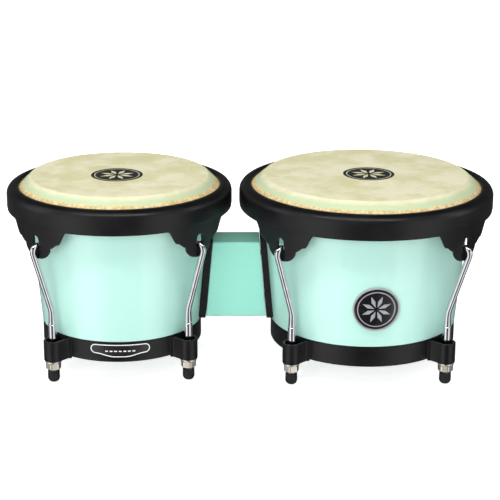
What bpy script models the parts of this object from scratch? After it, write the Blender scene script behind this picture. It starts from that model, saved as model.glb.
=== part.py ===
"""Bongo drums: a small and a large hand drum bolted to one centre block.

Each drum is a tapered plastic shell under a hide skin. The skin wraps a wire hoop, a pressed
steel rim bears on the hoop, and four J-shaped tuning hooks draw the rim down: each hook ends
in a thread that passes through a loop on the steel ring under the shell, a washer and a nut,
and a rubber cap on the thread's end is one of the feet that the instrument stands on.

Metres, +Z up. +X runs from the small drum to the large one and the badge looks towards -Y.
The origin is on the standing surface, under the middle of the overall box.
Heights are named Z_..., radii are measured from a drum's own upright axis.
"""

from dataclasses import dataclass
from math import acos, asin, atan, atan2, cos, hypot, pi, radians, sin, sqrt, tan

import bmesh
import bpy
from mathutils import Vector

MM = 0.001
GAP = 0.3 * MM                   # air between two pieces that touch
CURVED_GAP = 0.35 * MM           # the same for two curved pieces with unlike facets
SEGMENTS = 36                    # facets round a drum

# ---------------------------------------------------------------- driving dimensions

AXIS_SPACING = 233.6 * MM        # between the two drums' axes
SMALL_RIM_RADIUS = 106.2 * MM
LARGE_RIM_RADIUS = 120.4 * MM
SMALL_AXIS_X = -(AXIS_SPACING + LARGE_RIM_RADIUS - SMALL_RIM_RADIUS) / 2
SHELL_TAPER = 0.0885             # radius gained per unit of height
WALL = 5.5 * MM

Z_SKIN_TOP = 184.3 * MM
Z_BAND_TOP = 42.6 * MM           # top of the steel band round the shell's foot
Z_BAND_BOTTOM = 22.7 * MM
Z_RIM_TOP = 176.4 * MM
Z_RIM_EDGE = 153.8 * MM          # lower edge of the rim between its ears
Z_EAR_TIP = 124.0 * MM

# skin, hoop and bearing edge
SKIN = 1.2 * MM
HOOP_WIRE = 2.5 * MM             # radius of the hoop's wire
CREST = 1.7 * MM                 # rounding of the shell's bearing edge
HOOP_INSET = 13.2 * MM           # from the rim's outer face in to the hoop's wire
Z_HOOP = 169.6 * MM
Z_CREST = Z_SKIN_TOP - SKIN - GAP - CREST
SKIN_WRAP_END = radians(-165)    # the skin is tucked this far round the wire
DRAW_DOWN = 3.75 * MM            # how far tuning can draw the rim and the hoop down
Z_THICK_WALL = 172.0 * MM        # above this the wall is thickened inwards
Z_THIN_WALL = 165.0 * MM

# rim
SHEET = 2.2 * MM                 # thickness of the pressed steel
SHOULDER = 8.0 * MM              # outer bend between the rim's top and its wall
TOP_INSET = 9.0 * MM             # from the outer face in to where the rim's top is highest
LIP_INSET = 11.4 * MM            # from the outer face in to the folded inner lip
LIP_DROP = 1.2 * MM
LIP_THICKNESS = 1.5 * MM
FOLD_THICKNESS = 4.5 * MM        # the sheet is doubled under the highest part
Z_WALL_BOTTOM = 158.0 * MM
Z_SKIRT_KNEE = 154.6 * MM        # below this the skirt and the ears lean in
SKIRT_STEP = 0.8 * MM
EAR_LEAN = 0.07
# an ear ends in half an ellipse, and steps up from that to the rim's edge: (distance round, height)
LOBE_HALF_WIDTH = 16.5 * MM
LOBE_HEIGHT = 12.0 * MM
EAR_STEPS = ((33.5 * MM, Z_RIM_EDGE), (26.5 * MM, 141.0 * MM), (LOBE_HALF_WIDTH, 136.0 * MM))
HOLE_RADIUS = 4.2 * MM           # round lower end of an ear's teardrop hole
Z_HOLE = 137.3 * MM
Z_HOLE_TIP = 146.4 * MM
HOLE_TIP = 2.6 * MM              # rounding of the hole's upper end

# tuning hooks, in the upright plane through a drum's axis
ROD = 2.75 * MM                  # radius of the plain rod
THREAD = 3.9 * MM                # radius of the threaded end, M8
LUG_OFFSET = 12.9 * MM           # from the band out to the thread's centre
Z_ROD_END = 2.0 * MM
Z_THREAD_TOP = 57.0 * MM
Z_KNEE = 70.0 * MM
KNEE_BEND = 25.0 * MM
HOOK_BEND = 5.4 * MM
HOOK_INSET = 2.8 * MM            # from the rim's outer face in to the centre of the hook's bend
Z_HOOK = 131.0 * MM
HOOK_TIP = 6.0 * MM

# fasteners and feet on the threads
CAP_RADIUS = 5.6 * MM
CAP_FLAT = 2.6 * MM
CAP_BORE = THREAD + GAP
Z_CAP_TOP = 11.6 * MM
Z_NUT_BOTTOM = 12.9 * MM
NUT_HEIGHT = 6.4 * MM
NUT_ACROSS_FLATS = 13.0 * MM
WASHER_RADIUS = 7.8 * MM
WASHER_THICKNESS = 1.6 * MM
Z_WASHER = Z_NUT_BOTTOM + NUT_HEIGHT + GAP
Z_LOOP_BOTTOM = Z_WASHER + WASHER_THICKNESS + GAP
LOOP_HEIGHT = 19.7 * MM
LOOP_RADIUS = 8.6 * MM
LOOP_STRAP = 2.2 * MM
LOOP_FLARE = 1.9 * MM            # how far the loop's welded feet spread
LOOP_ROOT = 1.0 * MM             # how deep the feet reach into the band
LOOP_FOOT = 2.5 * MM             # from the band out to where the feet stop spreading
BAND_SHEET = 1.8 * MM

# centre block, gaskets and the bolts through the shells
GASKET = 4.1 * MM
Z_BLOCK_TOP = 121.4 * MM
Z_BLOCK_BOTTOM = 46.7 * MM
Z_BLOCK_MIDDLE = (Z_BLOCK_TOP + Z_BLOCK_BOTTOM) / 2
BLOCK_HALF_DEPTH = 18.0 * MM
BLOCK_WALL = 4.0 * MM
BLOCK_EDGE = 2.0 * MM
GASKET_MARGIN = 1.8 * MM         # how far the gaskets stand out past the block
GASKET_EDGE = 4.0 * MM
GASKET_WRAP = 4.0 * MM           # how far the saddle reaches round the shell
BOLT_PITCH = 44.0 * MM
BOLT = 3.0 * MM                  # radius, M6
BOLT_HOLE = BOLT + GAP
BOLT_TAIL = 1.5 * MM             # thread standing out of the nut
BOLT_HEAD = 5.5 * MM
BOLT_HEAD_HEIGHT = 4.0 * MM
BOLT_NUT_HEIGHT = 5.0 * MM
BOLT_NUT_ACROSS_FLATS = 10.0 * MM
PLATE = 2.5 * MM
PLATE_HALF_HEIGHT = 32.0 * MM
PLATE_HALF_ANGLE = radians(10)

# badge on the large shell, label on the small drum's band
BADGE_AZIMUTH = radians(272.4)
Z_BADGE = 81.2 * MM
BADGE_RADIUS = 19.6 * MM
BEZEL_INNER = 19.9 * MM
BEZEL_OUTER = 21.4 * MM
BADGE_THICKNESS = 1.4 * MM
BEZEL_THICKNESS = 2.4 * MM
LABEL_AZIMUTH = radians(272.0)
LABEL_HALF_LENGTH = 28.0 * MM
LABEL_HALF_HEIGHT = 6.2 * MM
LABEL_THICKNESS = 0.4 * MM
LABEL_CORNER = 3.0 * MM
Z_LABEL = 34.2 * MM


@dataclass(frozen=True)
class Drum:
    """The sizes that differ between the two drums."""

    name: str
    axis_x: float
    bearing_radius: float        # where the skin turns down over the shell
    rim_radius: float
    band_radius: float
    turn: float                  # how far the lugs stand round from the diagonals

    def shell_radius(self, z):
        return self.band_radius + SHELL_TAPER * (z - Z_BAND_TOP)

    @property
    def hoop_radius(self):
        return self.rim_radius - HOOP_INSET

    @property
    def lug_radius(self):
        return self.band_radius + LUG_OFFSET


SMALL = Drum("small", SMALL_AXIS_X, 82.5 * MM, SMALL_RIM_RADIUS, 76.4 * MM, radians(2.2))
LARGE = Drum("large", SMALL_AXIS_X + AXIS_SPACING, 95.3 * MM, LARGE_RIM_RADIUS, 89.3 * MM, radians(0.4))
DRUMS = (SMALL, LARGE)
LUGS = {
    "back_right": radians(45),
    "back_left": radians(135),
    "front_left": radians(225),
    "front_right": radians(315),
}


# ---------------------------------------------------------------- materials

def make_material(name, color, roughness, metallic=0.0):
    material = bpy.data.materials.new(name)
    material.use_nodes = True
    shader = material.node_tree.nodes["Principled BSDF"]
    shader.inputs["Base Color"].default_value = (*color, 1.0)
    shader.inputs["Roughness"].default_value = roughness
    shader.inputs["Metallic"].default_value = metallic
    return material


def make_materials():
    return {
        "shell": make_material("shell_plastic", (0.60, 0.93, 0.85), 0.12),
        "block": make_material("block_plastic", (0.36, 0.76, 0.64), 0.18),
        "hide": make_material("hide", (0.66, 0.60, 0.38), 0.55),
        "black_steel": make_material("black_steel", (0.012, 0.011, 0.013), 0.38),
        "chrome": make_material("chrome", (0.80, 0.80, 0.82), 0.08, 1.0),
        "nickel": make_material("nickel", (0.74, 0.69, 0.62), 0.30, 1.0),
        "steel": make_material("plain_steel", (0.55, 0.55, 0.56), 0.35, 1.0),
        "rubber": make_material("rubber", (0.015, 0.015, 0.016), 0.70),
        "badge": make_material("badge_face", (0.018, 0.018, 0.020), 0.25),
        "bezel": make_material("badge_ring", (0.62, 0.63, 0.66), 0.25, 1.0),
        "label": make_material("label_film", (0.014, 0.014, 0.015), 0.30),
    }


# ---------------------------------------------------------------- building tools

def clear_scene():
    for obj in list(bpy.data.objects):
        bpy.data.objects.remove(obj, do_unlink=True)


def finished_mesh(bm, name):
    """Turn a closed bmesh into a mesh with outward normals and smooth round faces."""
    bmesh.ops.recalc_face_normals(bm, faces=bm.faces)
    mesh = bpy.data.meshes.new(name)
    bm.to_mesh(mesh)
    bm.free()
    mesh.shade_smooth()
    mesh.set_sharp_from_angle(angle=radians(35))
    return mesh


def add_object(mesh, material, parent=None, location=(0, 0, 0), rotation=(0, 0, 0), name=None):
    obj = bpy.data.objects.new(name or mesh.name, mesh)
    if not mesh.materials:
        mesh.materials.append(material)
    bpy.context.scene.collection.objects.link(obj)
    obj.parent = parent
    obj.location = location
    obj.rotation_euler = rotation
    return obj


def add_empty(name, location, rotation=(0, 0, 0)):
    empty = bpy.data.objects.new(name, None)
    bpy.context.scene.collection.objects.link(empty)
    empty.location = location
    empty.rotation_euler = rotation
    return empty


def add_boolean(target, tool, operation):
    """Let the tool cut or join the target, and keep the tool as a hidden guide."""
    tool.hide_render = True
    tool.display_type = "WIRE"
    modifier = target.modifiers.new(tool.name, "BOOLEAN")
    modifier.operation = operation
    modifier.solver = "EXACT"
    modifier.object = tool


def arc(center, radius, start, end, steps):
    """Points on an arc in a plane, both ends included."""
    angles = [start + (end - start) * i / steps for i in range(steps + 1)]
    return [(center[0] + radius * cos(a), center[1] + radius * sin(a)) for a in angles]


def turned_mesh(name, section, steps=SEGMENTS, closed=True):
    """Turn a section of (radius, height) points about Z; an open section ends on the axis."""
    bm = bmesh.new()
    verts = [bm.verts.new((r, 0, z)) for r, z in section]
    edges = [bm.edges.new(pair) for pair in zip(verts, verts[1:])]
    if closed:
        edges.append(bm.edges.new((verts[-1], verts[0])))
    bmesh.ops.spin(bm, geom=verts + edges, axis=(0, 0, 1), cent=(0, 0, 0),
                   angle=2 * pi, steps=steps, use_merge=True)
    bmesh.ops.remove_doubles(bm, verts=bm.verts, dist=0.001 * MM)
    return finished_mesh(bm, name)


def loops_mesh(name, loops, ring=True):
    """Skin a row of equal closed loops, back to the first one or with a cap on each end."""
    bm = bmesh.new()
    rows = [[bm.verts.new(point) for point in loop] for loop in loops]
    pairs = list(zip(rows, rows[1:]))
    if ring:
        pairs.append((rows[-1], rows[0]))
    else:
        bm.faces.new(rows[0])
        bm.faces.new(rows[-1])
    for a, b in pairs:
        for i in range(len(a)):
            j = (i + 1) % len(a)
            bm.faces.new((a[i], a[j], b[j], b[i]))
    return finished_mesh(bm, name)


def prism_mesh(name, outline, bottom, top):
    """A straight prism on an outline of (x, y) points."""
    return loops_mesh(name, [[(x, y, z) for x, y in outline] for z in (bottom, top)], ring=False)


def sleeve_mesh(name, outer, inner, bottom, top):
    """A ring between two outlines of equal length, such as a nut or a washer."""
    sides = ((outer, bottom), (outer, top), (inner, top), (inner, bottom))
    return loops_mesh(name, [[(x, y, z) for x, y in outline] for outline, z in sides])


def circle(radius, count):
    return [(radius * cos(2 * pi * i / count), radius * sin(2 * pi * i / count)) for i in range(count)]


def hexagon(across_flats):
    """Twelve points of a hexagon: its corners and the middles of its sides."""
    inner = across_flats / 2
    radii = (inner / cos(pi / 6), inner)
    return [(radii[i % 2] * cos(pi * i / 6), radii[i % 2] * sin(pi * i / 6)) for i in range(12)]


def add_to_bmesh(bm, loops):
    """Add a capped row of loops to a bmesh that will become a cutter or a joined shape."""
    rows = [[bm.verts.new(point) for point in loop] for loop in loops]
    bm.faces.new(rows[0])
    bm.faces.new(rows[-1])
    for a, b in zip(rows, rows[1:]):
        for i in range(len(a)):
            j = (i + 1) % len(a)
            bm.faces.new((a[i], a[j], b[j], b[i]))


def polar(radius, azimuth, z):
    return Vector((radius * cos(azimuth), radius * sin(azimuth), z))


# ---------------------------------------------------------------- head: shell, skin, hoop

def bearing_circles(drum, drawn_down=0.0):
    """Centres of the shell's rounded crest and of the hoop's wire, and the angle at which
    one straight stretch of skin leaves the first and meets the second."""
    crest = (drum.bearing_radius, Z_CREST)
    hoop = (drum.hoop_radius, Z_HOOP - drawn_down)
    run = (hoop[0] - crest[0], hoop[1] - crest[1])
    slope = atan2(run[1], run[0]) + acos((CREST - HOOP_WIRE) / hypot(*run))
    return crest, hoop, slope


def shell_section(drum):
    # the bevel below the crest is steep enough for the skin to stay off it when drawn right down
    crest, _, slope = bearing_circles(drum, DRAW_DOWN)
    crest_arc = arc(crest, CREST, pi, slope, 3)
    start = crest_arc[-1]
    # it ends where it meets the tapered outside
    miss = drum.shell_radius(start[1]) - start[0]
    length = miss / (sin(slope) + SHELL_TAPER * cos(slope))
    bevel_end = (start[0] + length * sin(slope), start[1] - length * cos(slope))
    seat = drum.band_radius - BAND_SHEET - GAP
    z_foot = Z_BAND_BOTTOM + BAND_SHEET + GAP
    return crest_arc + [
        bevel_end,
        (drum.shell_radius(Z_BAND_TOP + GAP), Z_BAND_TOP + GAP),
        (seat, Z_BAND_TOP + GAP),
        (seat, z_foot),
        (drum.shell_radius(z_foot) - WALL, z_foot),
        (drum.shell_radius(Z_THIN_WALL) - WALL, Z_THIN_WALL),
        (drum.bearing_radius - CREST, Z_THICK_WALL),
    ]


def skin_section(drum):
    """From the axis over the crest, round the outside of the hoop, and back underneath."""
    crest, hoop, slope = bearing_circles(drum)
    inner_crest = CREST + GAP
    inner_hoop = HOOP_WIRE + GAP
    outside = arc(crest, inner_crest + SKIN, pi / 2, slope, 2)
    outside += arc(hoop, inner_hoop + SKIN, slope, SKIN_WRAP_END, 5)
    inside = arc(hoop, inner_hoop, SKIN_WRAP_END, slope, 5)
    inside += arc(crest, inner_crest, slope, pi / 2, 1)
    return [(0, Z_SKIN_TOP)] + outside + inside + [(0, Z_SKIN_TOP - SKIN)]


def add_bolt_holes(target, joint_frame, name):
    """Cut the two bolt holes of one side's joint, from inside the shell to inside the block."""
    inner_end = -20.0 * MM
    outer_end = GASKET + 2 * BLOCK_WALL
    bm = bmesh.new()
    for side in (-1, 1):
        add_to_bmesh(bm, [[(x, y, z + side * BOLT_PITCH / 2) for y, z in circle(BOLT_HOLE, 12)]
                          for x in (inner_end, outer_end)])
    cutter = add_object(finished_mesh(bm, name), None, joint_frame)
    add_boolean(target, cutter, "DIFFERENCE")


def add_head(drum, frame, joint_frame, materials):
    name = f"{drum.name}_shell"
    shell = add_object(turned_mesh(name, shell_section(drum)), materials["shell"], frame)
    add_bolt_holes(shell, joint_frame, f"{name}_bolt_holes")
    skin = turned_mesh(f"{drum.name}_skin", skin_section(drum), closed=False)
    add_object(skin, materials["hide"], frame)
    wire = arc((drum.hoop_radius, Z_HOOP), HOOP_WIRE, 0, 2 * pi, 6)[:-1]
    add_object(turned_mesh(f"{drum.name}_flesh_hoop", wire), materials["steel"], frame)


# ---------------------------------------------------------------- rim

def ease(t):
    """0 to 1 with level ends."""
    return t * t * (3 - 2 * t)


def ear_edge(offset):
    """Height of the rim's lower edge at a distance round from the middle of an ear."""
    if offset <= LOBE_HALF_WIDTH:
        return Z_EAR_TIP + LOBE_HEIGHT * (1 - sqrt(1 - (offset / LOBE_HALF_WIDTH) ** 2))
    for (outer, z_outer), (inner, z_inner) in zip(EAR_STEPS, EAR_STEPS[1:]):
        if inner <= offset <= outer:
            return z_outer + (z_inner - z_outer) * ease((outer - offset) / (outer - inner))
    return Z_RIM_EDGE


def rim_section(drum, z_edge):
    """The pressed sheet from its folded inner lip, over the top and down to its lower edge."""
    outer = drum.rim_radius
    shoulder = (outer - SHOULDER, Z_RIM_TOP - SHOULDER)
    edge = outer - SKIRT_STEP - EAR_LEAN * (Z_SKIRT_KNEE - z_edge)
    outside = [(outer - LIP_INSET, Z_RIM_TOP - LIP_DROP), (outer - TOP_INSET, Z_RIM_TOP)]
    outside += arc(shoulder, SHOULDER, radians(65), 0, 2)
    outside += [(outer, Z_WALL_BOTTOM), (outer - SKIRT_STEP, Z_SKIRT_KNEE), (edge, z_edge)]
    inside = [(edge - SHEET, z_edge), (outer - SKIRT_STEP - SHEET, Z_SKIRT_KNEE)]
    inside.append((outer - SHEET, Z_WALL_BOTTOM))
    inside += arc(shoulder, SHOULDER - SHEET, 0, pi / 2, 2)
    inside.append((outer - TOP_INSET, Z_RIM_TOP - FOLD_THICKNESS))
    inside.append((outer - LIP_INSET, Z_RIM_TOP - LIP_DROP - LIP_THICKNESS))
    return outside + inside


def rim_columns(drum):
    """(azimuth, height of the lower edge) round the rim: even steps, and closer ones at an ear."""
    half_ear = EAR_STEPS[0][0] / drum.rim_radius
    offsets = [distance for distance, _ in EAR_STEPS]
    # one more column in the middle of the steep flank, and closer ones round the lobe
    offsets.append((offsets[0] + offsets[1]) / 2)
    offsets += [LOBE_HALF_WIDTH * share for share in (0, 0.45, 0.75, 0.95)]
    columns = []
    ears = [azimuth + drum.turn for azimuth in LUGS.values()]
    for i in range(SEGMENTS):
        azimuth = 2 * pi * i / SEGMENTS
        if all(abs(azimuth - ear) > half_ear + radians(2) for ear in ears):
            columns.append((azimuth, Z_RIM_EDGE))
    for ear in ears:
        for offset in offsets:
            for side in ((-1, 1) if offset else (1,)):
                columns.append((ear + side * offset / drum.rim_radius, ear_edge(offset)))
    return sorted(columns)


def hole_outline():
    """Teardrop in (sideways, height): a round lower end and a narrower round top."""
    bottom = arc((0, Z_HOLE), HOLE_RADIUS, radians(170), radians(370), 12)
    return bottom + arc((0, Z_HOLE_TIP - HOLE_TIP), HOLE_TIP, radians(10), radians(170), 4)


def add_rim(drum, frame, materials):
    loops = [[polar(r, azimuth, z) for r, z in rim_section(drum, z_edge)]
             for azimuth, z_edge in rim_columns(drum)]
    rim = add_object(loops_mesh(f"{drum.name}_rim", loops), materials["black_steel"], frame)
    # the cutters reach through the ears but not as far as the shell
    near, far = drum.rim_radius - TOP_INSET, drum.rim_radius + SHEET
    bm = bmesh.new()
    for azimuth in LUGS.values():
        out = polar(1, azimuth + drum.turn, 0)
        along = Vector((-out.y, out.x, 0))
        up = Vector((0, 0, 1))
        add_to_bmesh(bm, [[out * r + along * s + up * z for s, z in hole_outline()]
                          for r in (near, far)])
    holes = add_object(finished_mesh(bm, f"{drum.name}_rim_holes"), None, frame)
    add_boolean(rim, holes, "DIFFERENCE")


# ---------------------------------------------------------------- bottom ring with its loops

def loop_outline(drum):
    """One welded loop from above, +X outwards: a strap round the thread, feet in the band."""
    center = drum.lug_radius
    root = drum.band_radius - LOOP_ROOT
    foot_end = drum.band_radius + LOOP_FOOT
    inner_radius = LOOP_RADIUS - LOOP_STRAP
    outer = arc((center, 0), LOOP_RADIUS, radians(-90), radians(90), 7)
    inner = arc((center, 0), inner_radius, radians(90), radians(-90), 6)
    foot = LOOP_RADIUS + LOOP_FLARE
    before = [(root, -foot), (foot_end, -LOOP_RADIUS)]
    after = [(foot_end, LOOP_RADIUS), (root, foot)]
    return before + outer + after + [(root, inner_radius)] + inner + [(root, -inner_radius)]


def add_bottom_ring(drum, frame, materials):
    band = drum.band_radius
    flange = drum.shell_radius(Z_BAND_BOTTOM) - WALL
    z_flange_top = Z_BAND_BOTTOM + BAND_SHEET
    section = [
        (band, Z_BAND_TOP),
        (band, Z_BAND_BOTTOM),
        (flange, Z_BAND_BOTTOM),
        (flange, z_flange_top),
        (band - BAND_SHEET, z_flange_top),
        (band - BAND_SHEET, Z_BAND_TOP),
    ]
    ring = add_object(turned_mesh(f"{drum.name}_bottom_ring", section), materials["black_steel"], frame)
    outline = loop_outline(drum)
    bm = bmesh.new()
    for azimuth in LUGS.values():
        a = azimuth + drum.turn
        turned = [(x * cos(a) - y * sin(a), x * sin(a) + y * cos(a)) for x, y in outline]
        add_to_bmesh(bm, [[(x, y, z) for x, y in turned]
                          for z in (Z_LOOP_BOTTOM, Z_LOOP_BOTTOM + LOOP_HEIGHT)])
    loops = add_object(finished_mesh(bm, f"{drum.name}_ring_loops"), None, frame)
    add_boolean(ring, loops, "UNION")


# ---------------------------------------------------------------- lugs: hook, nut, washer, cap

def hook_path(drum):
    """(distance from the thread's axis, height, rod radius) from the thread's end to the
    hook's tip."""
    center = (drum.rim_radius - HOOK_INSET - drum.lug_radius, Z_HOOK)
    rise = Z_HOOK - Z_KNEE
    # the straight part leans out from the knee until it touches the outside of the hook's bend
    lean = atan2(center[0], rise) + asin(HOOK_BEND / hypot(center[0], rise))
    z_bend = Z_KNEE - KNEE_BEND * tan(lean / 2)
    path = [(0, Z_ROD_END, THREAD), (0, Z_THREAD_TOP, THREAD)]
    path += [(x, z, ROD) for x, z in arc((KNEE_BEND, z_bend), KNEE_BEND, pi, pi - lean, 3)]
    path += [(x, z, ROD) for x, z in arc(center, HOOK_BEND, -lean, pi, 7)]
    path.append((center[0] - HOOK_BEND, Z_HOOK - HOOK_TIP, ROD))
    return path


def hook_mesh(drum, sides=8):
    path = hook_path(drum)
    loops = []
    for i, (x, z, radius) in enumerate(path):
        before = path[max(i - 1, 0)]
        after = path[min(i + 1, len(path) - 1)]
        along = Vector((after[0] - before[0], 0, after[1] - before[1])).normalized()
        outward = Vector((along.z, 0, -along.x))
        loops.append([Vector((x, 0, z)) + outward * radius * c + Vector((0, radius * s, 0))
                      for c, s in circle(1, sides)])
    return loops_mesh(f"{drum.name}_hook", loops, ring=False)


def cap_mesh():
    """A cup over the thread's end, with a rounded lower edge round a small flat."""
    dome_radius = CAP_RADIUS - CAP_FLAT
    z_floor = Z_ROD_END - GAP
    outside = [(0, 0)] + arc((CAP_FLAT, dome_radius), dome_radius, radians(-90), 0, 2)
    outside.append((CAP_RADIUS, Z_CAP_TOP))
    inside = [(CAP_BORE, Z_CAP_TOP), (CAP_BORE, z_floor), (0, z_floor)]
    return turned_mesh("foot_cap", outside + inside, steps=12, closed=False)


def add_lugs(drum, frame, materials):
    hook = hook_mesh(drum)
    cap = cap_mesh()
    bore = circle(THREAD + GAP, 12)
    nut = sleeve_mesh("tuning_nut", hexagon(NUT_ACROSS_FLATS), bore,
                      Z_NUT_BOTTOM, Z_NUT_BOTTOM + NUT_HEIGHT)
    washer = sleeve_mesh("washer", circle(WASHER_RADIUS, 12), bore,
                         Z_WASHER, Z_WASHER + WASHER_THICKNESS)
    pieces = (("tuning_hook", hook, "chrome"), ("foot_cap", cap, "rubber"),
              ("tuning_nut", nut, "nickel"), ("washer", washer, "nickel"))
    for place, diagonal in LUGS.items():
        azimuth = diagonal + drum.turn
        for piece, mesh, slot in pieces:
            add_object(mesh, materials[slot], frame, polar(drum.lug_radius, azimuth, 0),
                       (0, 0, azimuth), name=f"{drum.name}_{piece}_{place}")


# ---------------------------------------------------------------- centre block and its bolts

def facing(drum):
    """+1 for the drum whose joint looks along +X, -1 for the other."""
    return 1 if drum is SMALL else -1


def joint_frame_of(drum):
    """An empty on the shell where the block is bolted, +X square to the wall and out of it."""
    radius = drum.shell_radius(Z_BLOCK_MIDDLE)
    turn = 0 if drum is SMALL else pi
    place = (drum.axis_x + facing(drum) * radius, 0, Z_BLOCK_MIDDLE)
    return add_empty(f"{drum.name}_joint", place, (0, atan(SHELL_TAPER), turn))


def block_end_x(drum, z, distance):
    """World X of the plane that stands this far off the shell's nearest line."""
    return drum.axis_x + facing(drum) * (drum.shell_radius(z) + distance / cos(atan(SHELL_TAPER)))


def rounded_rectangle(half_width, low, high, radius, steps=3):
    side = half_width - radius
    centers = ((side, high - radius), (-side, high - radius), (-side, low + radius), (side, low + radius))
    points = []
    for quarter, center in enumerate(centers):
        points += arc(center, radius, quarter * pi / 2, (quarter + 1) * pi / 2, steps)
    return points


def add_gasket(drum, frame, joint_frame, materials):
    """A rubber saddle: flat towards the block, hollowed to the shell's curve on the other side."""
    outline = rounded_rectangle(BLOCK_HALF_DEPTH + GASKET_MARGIN, Z_BLOCK_BOTTOM - GASKET_MARGIN,
                                Z_BLOCK_TOP + GASKET_MARGIN, GASKET_EDGE)
    loops = [[(block_end_x(drum, z, distance), y, z) for y, z in outline]
             for distance in (-GASKET_WRAP, GAP + GASKET)]
    gasket = add_object(loops_mesh(f"{drum.name}_gasket", loops, ring=False), materials["rubber"])
    overshoot = 10.0 * MM
    low, high = Z_BLOCK_BOTTOM - overshoot, Z_BLOCK_TOP + overshoot
    cone = [(0, high), (drum.shell_radius(high) + GAP, high)]
    cone += [(drum.shell_radius(low) + GAP, low), (0, low)]
    cutter = add_object(turned_mesh(f"{drum.name}_gasket_saddle", cone, closed=False), None, frame)
    add_boolean(gasket, cutter, "DIFFERENCE")
    add_bolt_holes(gasket, joint_frame, f"{drum.name}_gasket_bolt_holes")


def block_loops(margin, low, high, edge):
    """The block's tapered box between two heights, drawn in by a margin, as two end outlines."""
    outline = rounded_rectangle(BLOCK_HALF_DEPTH - margin, low, high, edge)
    distance = GASKET + 2 * GAP + margin
    return [[(block_end_x(drum, z, distance), y, z) for y, z in outline] for drum in DRUMS]


def add_center_block(joint_frames, materials):
    """A moulded box, closed all round and open underneath."""
    loops = block_loops(0, Z_BLOCK_BOTTOM, Z_BLOCK_TOP, BLOCK_EDGE)
    block = add_object(loops_mesh("center_block", loops, ring=False), materials["block"])
    bm = bmesh.new()
    add_to_bmesh(bm, block_loops(BLOCK_WALL, Z_BLOCK_BOTTOM - 2 * BLOCK_WALL,
                                 Z_BLOCK_TOP - BLOCK_WALL, BLOCK_EDGE))
    hollow = add_object(finished_mesh(bm, "center_block_hollow"), None)
    add_boolean(block, hollow, "DIFFERENCE")
    for drum in DRUMS:
        add_bolt_holes(block, joint_frames[drum.name], f"center_block_{drum.name}_bolt_holes")


def add_backing_plate(drum, joint_frame, materials):
    """A curved steel strip inside the shell that spreads the bolts' load."""
    axis_distance = drum.shell_radius(Z_BLOCK_MIDDLE) / cos(atan(SHELL_TAPER))
    outer = axis_distance - WALL - CURVED_GAP
    inner = outer - PLATE
    outline = arc((-axis_distance, 0), outer, -PLATE_HALF_ANGLE, PLATE_HALF_ANGLE, 2)
    outline += arc((-axis_distance, 0), inner, PLATE_HALF_ANGLE, -PLATE_HALF_ANGLE, 2)
    mesh = prism_mesh(f"{drum.name}_backing_plate", outline, -PLATE_HALF_HEIGHT, PLATE_HALF_HEIGHT)
    plate = add_object(mesh, materials["steel"], joint_frame)
    add_bolt_holes(plate, joint_frame, f"{drum.name}_plate_bolt_holes")
    return inner - axis_distance


def add_block_bolts(drum, joint_frame, plate_face, materials):
    """Bolts from inside the shell into nuts inside the block."""
    head_seat = plate_face - 2 * GAP
    nut_seat = GAP + GASKET + GAP + BLOCK_WALL + GAP
    bolt_end = nut_seat + BOLT_NUT_HEIGHT + BOLT_TAIL
    head_top = head_seat - BOLT_HEAD_HEIGHT
    section = [(0, head_top), (BOLT_HEAD, head_top), (BOLT_HEAD, head_seat)]
    section += [(BOLT, head_seat), (BOLT, bolt_end), (0, bolt_end)]
    bolt = turned_mesh("block_bolt", section, steps=12, closed=False)
    nut = sleeve_mesh("block_nut", hexagon(BOLT_NUT_ACROSS_FLATS), circle(BOLT_HOLE, 12),
                      nut_seat, nut_seat + BOLT_NUT_HEIGHT)
    for place, side in (("upper", 1), ("lower", -1)):
        seat = (0, 0, side * BOLT_PITCH / 2)
        lying = (0, pi / 2, 0)
        add_object(bolt, materials["steel"], joint_frame, seat, lying,
                   name=f"{drum.name}_block_bolt_{place}")
        add_object(nut, materials["steel"], joint_frame, seat, lying,
                   name=f"{drum.name}_block_nut_{place}")


# ---------------------------------------------------------------- badge and label

def on_shell(drum, azimuth, z, sideways, up, lift):
    """A point of a flat pattern laid round the shell's taper."""
    radius = drum.shell_radius(z + up)
    return polar(radius + lift, azimuth + sideways / radius, z + up)


def badge_loop(radius, lift):
    """A circle of the badge's pattern, laid on the shell and lifted off it."""
    return [on_shell(LARGE, BADGE_AZIMUTH, Z_BADGE, s, u, lift) for s, u in circle(radius, 24)]


def add_badge(frame, materials):
    """A disc and a metal ring round it, both bent to the large shell's curve."""
    under, over = CURVED_GAP, CURVED_GAP + BADGE_THICKNESS
    sides = ((BADGE_RADIUS / 2, under), (BADGE_RADIUS, under), (BADGE_RADIUS, over), (BADGE_RADIUS / 2, over))
    bm = bmesh.new()
    rows = [[bm.verts.new(point) for point in badge_loop(radius, lift)] for radius, lift in sides]
    for a, b in zip(rows, rows[1:]):
        for i in range(len(a)):
            j = (i + 1) % len(a)
            bm.faces.new((a[i], a[j], b[j], b[i]))
    for row, lift in ((rows[0], under), (rows[-1], over)):
        middle = bm.verts.new(on_shell(LARGE, BADGE_AZIMUTH, Z_BADGE, 0, 0, lift))
        for i in range(len(row)):
            bm.faces.new((row[i], row[(i + 1) % len(row)], middle))
    add_object(finished_mesh(bm, "badge"), materials["badge"], frame)

    over = CURVED_GAP + BEZEL_THICKNESS
    sides = ((BEZEL_INNER, under), (BEZEL_INNER, over), (BEZEL_OUTER, over), (BEZEL_OUTER, under))
    loops = [badge_loop(radius, lift) for radius, lift in sides]
    add_object(loops_mesh("badge_ring", loops), materials["bezel"], frame)


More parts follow.
